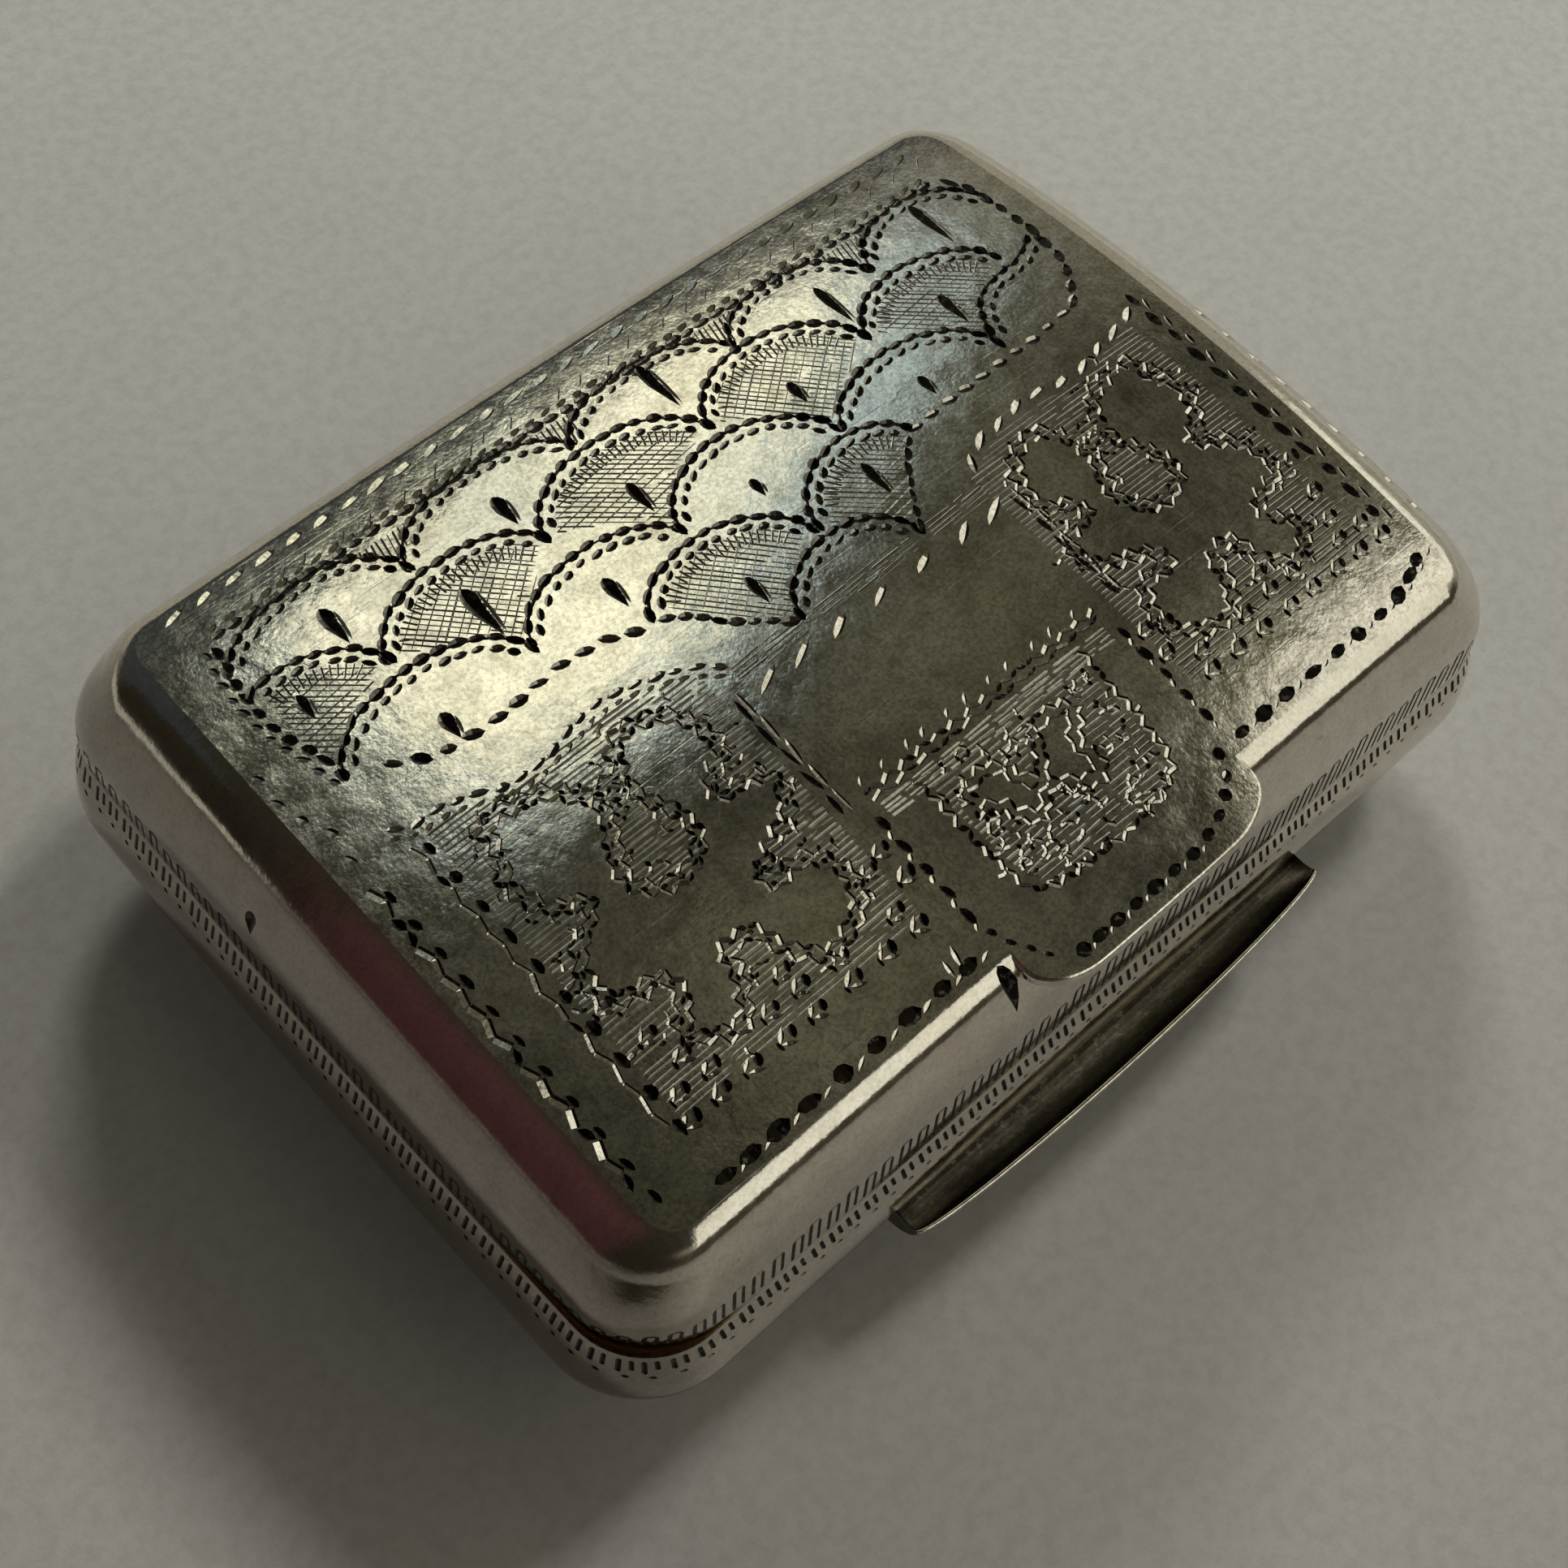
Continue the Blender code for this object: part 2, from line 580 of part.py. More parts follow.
def make_lip(collection):
    """A crescent pocket: its section, a floor and an upturned rim, is lofted along the front."""
    half = LIP_LENGTH / 2
    shares = [-1 + 2 * step / LIP_STATIONS for step in range(LIP_STATIONS + 1)]
    stations = [half * math.sin(share * math.pi / 2) for share in shares]
    inner_end = half - LIP_END_WALL
    solid = [(-half, True), (-inner_end, True)]
    hollow = [(x * (inner_end - LIP_RIM) / half, False) for x in stations]
    sections = []
    for x, filled in solid + hollow + [(inner_end, True), (half, True)]:
        crescent = math.sqrt(max(0, 1 - (x / half) ** 2))
        reach = blend(LIP_END_REACH, LIP_REACH, crescent)
        sections.append(lip_section(x, reach, filled))
    mesh_object("base_lip", skin(sections, False), SILVER, collection)


def lip_section(x, reach, filled):
    """Root, underside, rim and floor of the pocket at one place along X."""
    belly = base_front_y(LIP_RIM_SHARE) - SOLDER_GAP
    outer = belly - reach
    floor_share = LIP_RIM_SHARE if filled else LIP_FLOOR_SHARE
    bottom_z = SEAM_Z - BASE_HEIGHT * LIP_BOTTOM_SHARE
    floor_z = SEAM_Z - BASE_HEIGHT * floor_share
    rim_z = SEAM_Z - BASE_HEIGHT * LIP_RIM_SHARE
    flare = min(LIP_FLARE, reach / 3)
    rim = min(LIP_RIM, reach / 3)
    middle_share = TURN_SHARES[0][0] if filled else (LIP_BOTTOM_SHARE + LIP_FLOOR_SHARE) / 2
    middle_z = SEAM_Z - BASE_HEIGHT * middle_share
    bottom_back, middle_back, floor_back = (base_front_y(share) - SOLDER_GAP
                                            for share in (LIP_BOTTOM_SHARE, middle_share, floor_share))
    places = ((middle_back, middle_z), (bottom_back, bottom_z), (outer + flare, bottom_z), (outer, rim_z),
              (outer + rim, rim_z), (outer + rim + flare / 2, floor_z), (floor_back, floor_z))
    return [Vector((x, y, z)) for y, z in places]


def make_joint_empty(name, place, collection):
    empty = bpy.data.objects.new(name, None)
    empty.location = place
    collection.objects.link(empty)
    bpy.context.view_layer.update()
    return empty


def main():
    clear_scene()
    parts = make_collection("purse_vinaigrette")
    cutters = make_collection("cutters")
    lid_axis = make_joint_empty("lid_axis", (0, HINGE_Y, SEAM_Z), parts)
    grille_axis = make_joint_empty("grille_axis", (0, GRILLE_HINGE_Y, GRILLE_HINGE_Z), parts)
    groove = make_cutter(rod("hinge_groove", GROOVE_RADIUS, HINGE_LENGTH + 2 * KNUCKLE_END_GAP,
                             Vector((0, HINGE_Y, SEAM_Z)), None, cutters, None, 2 * TUBE_STEPS))
    make_base_shell(parts, groove)
    make_bezel(parts, cutters)
    make_seat(parts)
    make_lip(parts)
    make_lid_shell(parts, lid_axis, groove)
    make_tongue(parts, lid_axis)
    make_hinge(parts, lid_axis)
    make_grille(parts, grille_axis)
    make_grille_hinge(parts, grille_axis)
    make_sponge(parts)


main()
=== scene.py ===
"""Looks of a silver purse vinaigrette: a bright-cut lid over a gilt grille and sponge.

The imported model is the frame. Silver pieces that carry engraving are drawn as sheets whose triangles follow
every stroke of the graver, so each cut has a real valley with a steep bright side and a wide dull side.
Lengths here are millimetres, as on a maker's drawing, and turn to metres when a mesh is made.
"""
import json
import math
import random
from collections import namedtuple

import bpy
import numpy as np
from bpy.props import FloatProperty, FloatVectorProperty, PointerProperty
from mathutils import Matrix, Vector, noise
from mathutils.geometry import delaunay_2d_cdt

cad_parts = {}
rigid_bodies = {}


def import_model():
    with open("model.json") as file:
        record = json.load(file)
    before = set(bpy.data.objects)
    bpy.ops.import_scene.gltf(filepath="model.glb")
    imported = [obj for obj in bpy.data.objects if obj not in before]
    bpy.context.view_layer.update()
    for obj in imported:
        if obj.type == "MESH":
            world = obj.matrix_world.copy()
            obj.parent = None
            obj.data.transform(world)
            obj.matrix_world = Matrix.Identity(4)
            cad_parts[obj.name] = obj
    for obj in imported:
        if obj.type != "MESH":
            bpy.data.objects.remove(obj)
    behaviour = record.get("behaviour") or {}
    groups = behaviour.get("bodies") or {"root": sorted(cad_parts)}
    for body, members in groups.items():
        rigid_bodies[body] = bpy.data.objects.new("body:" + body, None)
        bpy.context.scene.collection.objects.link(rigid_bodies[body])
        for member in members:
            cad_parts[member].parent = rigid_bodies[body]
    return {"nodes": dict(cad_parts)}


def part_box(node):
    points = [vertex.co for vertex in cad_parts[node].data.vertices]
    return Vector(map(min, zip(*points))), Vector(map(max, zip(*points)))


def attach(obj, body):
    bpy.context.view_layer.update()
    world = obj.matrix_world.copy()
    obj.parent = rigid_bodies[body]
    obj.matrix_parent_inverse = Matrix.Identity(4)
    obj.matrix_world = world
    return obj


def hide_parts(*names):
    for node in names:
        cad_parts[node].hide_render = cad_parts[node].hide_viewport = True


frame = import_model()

bl_info = {
    "name": "Purse vinaigrette",
    "version": (1, 0, 0),
    "blender": (4, 5, 0),
    "location": "3D View > Sidebar > Vinaigrette",
    "description": "Dresses the packed vinaigrette with engraved silver, gilding, sponge and a stage",
    "category": "Object",
}

MM = 0.001

# The form, as in the solids
SEAM_Z = 5.4
HALF_LENGTH = 15.1
HALF_WIDTH = 11.05
SEAM_RADIUS = 2.1
CREASE_HALF_LENGTH = 14.27
CREASE_HALF_WIDTH = 9.98
CREASE_RADIUS = 1.9
END_BOW = 0.20
SEAM_GAP = 0.05
WALL = 0.45
LID_RISE = 3.15
END_SWELL = 0.30
FRONT_SWELL = 0.15
SHOULDER_HALF_LENGTH = 14.39
SHOULDER_HALF_WIDTH = 10.36
END_FILLET = (1.22, 0.80)
FRONT_FILLET = (0.73, 0.62)
FILLET_EDGE_SLOPE = (0.14, 0.21)
DOME_ALONG = 0.36
DOME_ACROSS = 0.65
HINGE_Y = 11.45
HINGE_HALF = 11.083
GROOVE_RADIUS = 0.76

# Strap tongue
TONGUE_X = 0.75
TONGUE_HALF = 3.95
TONGUE_Y = -11.2
TONGUE_CORNER = (1.7, 0.95)
TONGUE_THICKNESS = 0.38
TONGUE_BOW = 0.02
PLATE_THICKNESS = 0.20
RIM_ROUND = 0.11
SEAT_GAP = 0.03

# Unrolled height of the lid's fillet and wall, and how far the rim has sprung at the near corner
FILLET_RUN = 0.9
WALL_RUN = 2.7
RIM_SPRING = 0.26
RIM_EASE = (0.04, 0.03)

# Lip: reach and rim from its tips to its middle, and the depth of its hollow
LIP_REACH = (0.72, 1.20)
LIP_RIM = (0.05, 0.075)
LIP_HOLLOW = (0.12, 0.62)
LIP_STATIONS = 56
# Painted shade across one section of the lip: part-dark underneath, clear on the rim, darkening into the hollow
LIP_SHADE_TONES = [0.4] * 8 + [0.0] * 6 + [0.62, 0.70, 0.78, 0.70, 0.62, 0.72, 0.80, 0.88, 0.96, 1.0, 1.0]

# Hinge tubes, in metres: radius of the bore and wear of the rims
LID_TUBE = (0.000255, 0.00004)
GRILLE_TUBE = (0.000185, 0.00003)

# Grille: columns and rows of holes, plain border, corner radius, hole radii and eased edges
GRILLE_HOLES = (9, 6)
GRILLE_BORDER = 1.3
GRILLE_CORNER = 1.2
GRILLE_HOLE = 0.90
GRILLE_SMALL_HOLE = 0.34
GRILLE_EASE = 0.05
TAB_EASE = 0.07

# Pores of the sponge: pitch and depth
PORES = ((1.5, 0.42), (0.75, 0.26), (0.42, 0.12))

# Depth share below the seam, then half length, half width and corner radius of the base
BASE_PROFILE = (
    (0.00, 15.10, 11.05, 2.10), (0.07, 15.27, 11.186, 2.27), (0.16, 15.45, 11.33, 2.45),
    (0.26, 15.565, 11.422, 2.565), (0.34, 15.60, 11.45, 2.60), (0.50, 15.316, 11.198, 2.635),
    (0.66, 14.587, 10.55, 2.725), (0.80, 13.17, 9.29, 2.90), (0.91, 11.226, 7.562, 3.14),
    (0.98, 9.12, 5.69, 3.40), (1.00, 7.50, 4.25, 3.60),
)


# Plan of the box

CORNER_RUN = math.pi
LONG_RUN = 25.4
SHORT_RUN = 17.0
RUNS = (CORNER_RUN, LONG_RUN, CORNER_RUN, SHORT_RUN) * 2
STARTS = np.concatenate(([0.0], np.cumsum(RUNS)))
ROUND = float(STARTS[-1])


def mix(start, end, share):
    return start + (end - start) * share


def plan(along, length, width, radius):
    """Points of a rounded rectangle with bowed ends, and their outward directions, at places along its edge."""
    along = np.mod(along, ROUND)
    part = np.clip(np.searchsorted(STARTS, along, side="right") - 1, 0, 7)
    share = (along - STARTS[part]) / np.array(RUNS)[part]
    quarter = part // 2
    corner = part % 2 == 0
    turn = np.where(corner, quarter + share, quarter + 1.0) * math.pi / 2
    nx = np.cos(turn)
    ny = np.sin(turn)
    side_x = np.where((quarter == 0) | (quarter == 3), 1.0, -1.0)
    side_y = np.where(quarter <= 1, 1.0, -1.0)
    x = side_x * (length - radius) + nx * radius
    y = side_y * (width - radius) + ny * radius
    run = np.where(quarter % 2 == 0, 2 * (length - radius), 2 * (width - radius))
    run = np.where(corner, 0.0, run * share)
    x = x - ny * run
    y = y + nx * run
    x = x + END_BOW * nx * (1 - (y / width) ** 2)
    return x, y, nx, ny


def lid_bow(x, y):
    along = 1 - (x / CREASE_HALF_LENGTH) ** 2
    across = 1 - (y / CREASE_HALF_WIDTH) ** 2
    return DOME_ALONG * along + DOME_ACROSS * across


def crown(x, y, depth=0.0):
    """Points on the cushioned top, or at a depth below it."""
    return np.column_stack((x, y, SEAM_Z + LID_RISE + lid_bow(x, y) - depth))


def top_place(points):
    return crown(points[:, 0], points[:, 1])


def top_normal(points):
    slope_x = 2 * DOME_ALONG * points[:, 0] / CREASE_HALF_LENGTH ** 2
    slope_y = 2 * DOME_ACROSS * points[:, 1] / CREASE_HALF_WIDTH ** 2
    normal = np.column_stack((slope_x, slope_y, np.ones(len(points))))
    return normal / np.linalg.norm(normal, axis=1)[:, None]


def rim_spring(along):
    """How far the rim stands up from the seam: most at the near left corner."""
    corner = STARTS[4] + CORNER_RUN / 2
    away = along - corner
    reach = np.where(away < 0, 3.4, 1.8)
    return RIM_SPRING * np.exp(-(away / reach) ** 2)


def round_over(x, y, nx, ny, turn):
    """Run the wall (turn 0) over into the top (turn 1) in a soft curve that starts at the wall's own lean."""
    ends = nx ** 2
    out = mix(FRONT_FILLET[0], END_FILLET[0], ends)
    down = mix(FRONT_FILLET[1], END_FILLET[1], ends)
    slope = mix(FILLET_EDGE_SLOPE[0], FILLET_EDGE_SLOPE[1], ends)
    inset = mix(HALF_WIDTH - SHOULDER_HALF_WIDTH, HALF_LENGTH - SHOULDER_HALF_LENGTH, ends)
    swell = mix(FRONT_SWELL, END_SWELL, ends)
    lean = (inset + math.pi * swell) / (LID_RISE + lid_bow(x, y) - SEAM_GAP - down)
    bend = lean * (down - slope * out) / (1 - lean * slope)
    inward = 2 * turn * (1 - turn) * bend + turn ** 2 * out
    drop = down * (1 - turn) ** 2 + 2 * turn * (1 - turn) * slope * (out - bend)
    x = x - nx * inward
    y = y - ny * inward
    return x, y, LID_RISE + lid_bow(x, y) - drop


def in_groove(point):
    """Press the back wall in where the hinge tubes lie."""
    x, y, z = point
    off = z - SEAM_Z
    room = np.sqrt(np.clip(GROOVE_RADIUS ** 2 - off ** 2, 0, None))
    near = (np.abs(x) < HINGE_HALF) & (y > 5) & (room > 0)
    y = np.where(near, np.minimum(y, HINGE_Y - room), y)
    return np.column_stack((x, y, z))


def lid_form(along, share, inset, turn=0.0, drop=0.0, tighter=0.0):
    """The lid's form from the seam (share 0) to the crease (1) and over its fillet, drawn in by an inset, with its
    top lowered by a drop and its corners made tighter."""
    bulge = np.sin(math.pi * share)
    length = mix(HALF_LENGTH, SHOULDER_HALF_LENGTH, share) + END_SWELL * bulge - inset
    width = mix(HALF_WIDTH, SHOULDER_HALF_WIDTH, share) + FRONT_SWELL * bulge - inset
    x, y, nx, ny = plan(along, length, width, mix(SEAM_RADIUS, CREASE_RADIUS, share) - tighter)
    x, y, top = round_over(x, y, nx, ny, turn)
    return in_groove((x, y, SEAM_Z + mix(SEAM_GAP + rim_spring(along), top - drop, share)))


def lid_side(points):
    """The lid's fillet (second number below 0) and wall (0 at the crease, WALL_RUN at the rim)."""
    along, down = points.T
    share = 1 - np.clip(down, 0, None) / WALL_RUN
    inset = 0.6 * rim_spring(along) * (1 - share) ** 2
    return lid_form(along, share, inset, np.where(down < 0, -down / FILLET_RUN, 0))


def smooth_profile():
    """The base's profile as an even, smooth row of sections with their distance down the side."""
    rows = np.array(BASE_PROFILE)
    rows = np.column_stack((SEAM_Z * (1 - rows[:, 0]), rows[:, 1:]))
    steps = np.hypot(np.diff(rows[:, 0]), np.diff(rows[:, 1]))
    knots = np.concatenate(([0.0], np.cumsum(steps)))
    slopes = np.gradient(rows, knots, axis=0)
    slopes[-1, 0] = 0
    fine = np.linspace(0, knots[-1], 160)
    span = np.clip(np.searchsorted(knots, fine, side="right") - 1, 0, len(knots) - 2)
    gap = (knots[1:] - knots[:-1])[span][:, None]
    t = ((fine - knots[span]) / gap[:, 0])[:, None]
    start = (2 * t ** 3 - 3 * t ** 2 + 1) * rows[span] + (t ** 3 - 2 * t ** 2 + t) * gap * slopes[span]
    end = (-2 * t ** 3 + 3 * t ** 2) * rows[span + 1] + (t ** 3 - t ** 2) * gap * slopes[span + 1]
    return fine, start + end


PROFILE_DOWN, PROFILE_ROWS = smooth_profile()
BASE_RUN = float(PROFILE_DOWN[-1])


def base_section(down):
    """Height, half length, half width and corner radius of the base at a distance down its side."""
    return [np.interp(down, PROFILE_DOWN, PROFILE_ROWS[:, i]) for i in range(4)]


def base_side(points):
    """The base's side, from the seam down to the foot."""
    z, *section = base_section(np.clip(points[:, 1], 0, BASE_RUN))
    x, y, _, _ = plan(points[:, 0], *section)
    return in_groove((x, y, np.clip(z, 0, None)))


def side_normals(place, points):
    """Outward normals of an unrolled side."""
    step = 0.02
    east = place(points + np.array([step, 0])) - place(points - np.array([step, 0]))
    south = place(points + np.array([0, step])) - place(points - np.array([0, step]))
    normal = np.cross(south, east)
    size = np.linalg.norm(normal, axis=1)
    size[size < 1e-12] = 1
    return normal / size[:, None]


# Strokes of the graver

Stroke = namedtuple("Stroke", "start along length half depth knots swell lean dark light")
SHAPES = {
    "cut": ((0, 0.35, 0.65, 1), (0, 1, 1, 0)),
    "line": ((0, 0.08, 0.92, 1), (0, 1, 1, 0)),
    "leaf": ((0, 0.22, 0.5, 0.78, 1), (0, 0.8, 1, 0.8, 0)),
    "drop": ((0, 0.07, 0.2, 0.42, 0.72, 1), (0, 0.6, 0.93, 1, 0.52, 0)),
}
STEEP_SIDE = 0.35
DEPTH_TO_HALF = 0.45

# Darkening on the wide side (dark) and the steep side (light) of the common cuts: tarnish in the cuts, with
# painted shade on the facet that faces away from the bright room
BRIGHT = {"dark": 0.03, "light": 0.95, "flip": True}
BLACK = {"dark": 1.0, "light": 0.95}
FULL_BLACK = {"dark": 1.0, "light": 1.0}
SEAM_LOOK = {"dark": 1.0, "light": 0.8}


def stroke(x0, y0, x1, y1, width, shape="cut", deep=1.0, dark=0.75, light=0.0, flip=False):
    """One cut from start to end. Its steep side is at the back left, or at the front right when flip is set."""
    length = math.hypot(x1 - x0, y1 - y0)
    along = ((x1 - x0) / length, (y1 - y0) / length)
    lean = STEEP_SIDE if (along[0] + along[1] > 0) != flip else -STEEP_SIDE
    half = width / 2
    return Stroke((x0, y0), along, length, half, DEPTH_TO_HALF * half * deep, *SHAPES[shape], lean, dark, light)


def stroke_points(cut):
    """Tip, left side, end and right side in a ring, then the points of the valley."""
    tx, ty = cut.along
    last = len(cut.knots) - 1

    def at(knot, off):
        run = cut.knots[knot] * cut.length
        side = off * cut.half * cut.swell[knot]
        return (cut.start[0] + tx * run - ty * side, cut.start[1] + ty * run + tx * side)

    inner = range(1, last)
    ring = [at(0, 0)] + [at(i, 1) for i in inner] + [at(last, 0)] + [at(i, -1) for i in reversed(inner)]
    return ring + [at(i, cut.lean) for i in inner]


def stroke_edges(inner):
    """Edges of a stroke with that many knots between its tips."""
    ring = 2 * inner + 2
    edges = [(i, (i + 1) % ring) for i in range(ring)] + [(0, ring)]
    for i in range(inner):
        ahead = ring + i + 1 if i < inner - 1 else inner + 1
        edges += [(i + 1, ring + i), (ring + i, ring - 1 - i), (ring + i, ahead)]
    return edges


def cut_depth(points, strokes):
    """Depth of the deepest stroke at each point, and how dark that side of it is painted, by tarnish and painted
    shade.
    """
    order = np.argsort(points[:, 0])
    sorted_x = points[order, 0]
    depth = np.zeros(len(points))
    stain_and_shade = np.zeros(len(points))
    for cut in strokes:
        ends = (cut.start[0], cut.start[0] + cut.along[0] * cut.length)
        low = np.searchsorted(sorted_x, min(ends) - cut.half)
        high = np.searchsorted(sorted_x, max(ends) + cut.half)
        ids = order[low:high]
        off_x = points[ids, 0] - cut.start[0]
        off_y = points[ids, 1] - cut.start[1]
        run = (off_x * cut.along[0] + off_y * cut.along[1]) / cut.length
        side = off_y * cut.along[0] - off_x * cut.along[1]
        swell = np.interp(run, cut.knots, cut.swell, left=0, right=0)
        half = np.maximum(cut.half * swell, 1e-9)
        side = side / half
        rise = np.where(side > cut.lean, (1 - side) / (1 - cut.lean), (1 + side) / (1 + cut.lean))
        here = cut.depth * swell * np.clip(rise, 0, 1)
        deeper = here > depth[ids] + 1e-7
        depth[ids[deeper]] = here[deeper]
        steep = (side > cut.lean) if cut.lean > 0 else (side < cut.lean)
        stain_and_shade[ids[deeper]] = np.where(steep, cut.light, cut.dark)[deeper]
    return depth, stain_and_shade


def is_inside(points, loop):
    """Which points lie inside a closed outline."""
    points = np.asarray(points, float)
    loop = np.asarray(loop, float)
    inside = np.zeros(len(points), bool)
    for (x0, y0), (x1, y1) in zip(loop, np.roll(loop, -1, axis=0)):
        if y0 == y1:
            continue
        spans = (points[:, 1] > y0) != (points[:, 1] > y1)
        cross = x0 + (points[:, 1] - y0) / (y1 - y0) * (x1 - x0)
        inside ^= spans & (points[:, 0] < cross)
    return inside


def shrink(loop, gap):
    """An outline drawn in a little, so that no stroke runs over its edge."""
    loop = np.asarray(loop, float)
    ahead = np.roll(loop, -1, axis=0) - np.roll(loop, 1, axis=0)
    ahead /= np.linalg.norm(ahead, axis=1)[:, None]
    return loop + gap * np.column_stack((-ahead[:, 1], ahead[:, 0]))


def keep_inside(strokes, loop):
    """Leave out each stroke that would run over the edge of its sheet."""
    if not strokes:
        return strokes
    small = shrink(loop, 0.05)
    rings = [stroke_points(cut)[:2 * len(cut.knots) - 2] for cut in strokes]
    inside = is_inside(np.concatenate(rings), small)
    starts = np.cumsum([0] + [len(ring) for ring in rings[:-1]])
    fine = np.logical_and.reduceat(inside, starts)
    return [cut for cut, keep in zip(strokes, fine) if keep]


def engrave(loop, strokes, plain):
    """Triangles of a flat sheet that follow every stroke. The loop's points come first, in their order."""
    strokes = keep_inside(strokes, loop)
    verts = [tuple(point) for point in loop]
    count = len(verts)
    edges = [(i, (i + 1) % count) for i in range(count)]
    for cut in strokes:
        first = len(verts)
        verts += stroke_points(cut)
        edges += [(first + a, first + b) for a, b in stroke_edges(len(cut.knots) - 2)]
    plain = np.asarray(plain)
    depth, _ = cut_depth(plain, strokes)
    plain = plain[(depth == 0) & is_inside(plain, shrink(loop, 0.06))]
    verts += [tuple(point) for point in plain]
    found = delaunay_2d_cdt([Vector(v) for v in verts], edges, [], 0, 1e-5, True)
    points = np.array([tuple(v) for v in found[0]])
    faces = np.array(found[2])
    places = {}
    for index, origins in enumerate(found[3]):
        for origin in origins:
            if origin < count:
                places[origin] = index
    order = [places[i] for i in range(count)]
    rest = sorted(set(range(len(points))) - set(order))
    moved = np.empty(len(points), int)
    moved[order + rest] = np.arange(len(points))
    points = points[order + rest]
    faces = moved[faces]
    centres = points[faces].mean(axis=1)
    faces = faces[is_inside(centres, loop)]
    centres = points[faces].mean(axis=1)
    across = points[faces[:, 1]] - points[faces[:, 0]]
    beside = points[faces[:, 2]] - points[faces[:, 0]]
    area = across[:, 0] * beside[:, 1] - across[:, 1] * beside[:, 0]
    faces[area < 0] = faces[area < 0][:, ::-1]
    faces = faces[np.abs(area) > 1e-9]
    centres = points[faces].mean(axis=1)
    depth, _ = cut_depth(points, strokes)
    depth[:count] = 0
    in_cut, stain_and_shade = cut_depth(centres, strokes)
    return points, depth, faces, in_cut > 0, stain_and_shade


def walk(points, pitch):
    """Places at an even pitch along a line, each with its direction."""
    points = np.asarray(points, float)
    steps = np.hypot(*np.diff(points, axis=0).T)
    run = np.concatenate(([0.0], np.cumsum(steps)))
    count = max(1, round(run[-1] / pitch))
    places = []
    for index in range(count):
        here = (index + 0.5) * run[-1] / count
        span = min(np.searchsorted(run, here, side="right") - 1, len(steps) - 1)
        share = (here - run[span]) / steps[span]
        x, y = mix(points[span], points[span + 1], share)
        turn = math.atan2(*(points[span + 1] - points[span])[::-1])
        places.append((x, y, turn))
    return places


def smooth_line(points):
    """A rounded line through the given points, in six parts between each two."""
    points = np.asarray(points, float)
    padded = np.vstack((2 * points[0] - points[1], points, 2 * points[-1] - points[-2]))
    fine = []
    for p0, p1, p2, p3 in zip(padded, padded[1:], padded[2:], padded[3:]):
        for step in range(6):
            t = step / 6
            fine.append(0.5 * (2 * p1 + (p2 - p0) * t + (2 * p0 - 5 * p1 + 4 * p2 - p3) * t ** 2
                               + (3 * p1 - p0 - 3 * p2 + p3) * t ** 3))
    fine.append(points[-1])
    return fine


def beside(points, off):
    """A line run beside another, to its left."""
    points = np.asarray(points, float)
    ahead = np.gradient(points, axis=0)
    ahead /= np.maximum(np.linalg.norm(ahead, axis=1), 1e-9)[:, None]
    return points + off * np.column_stack((-ahead[:, 1], ahead[:, 0]))


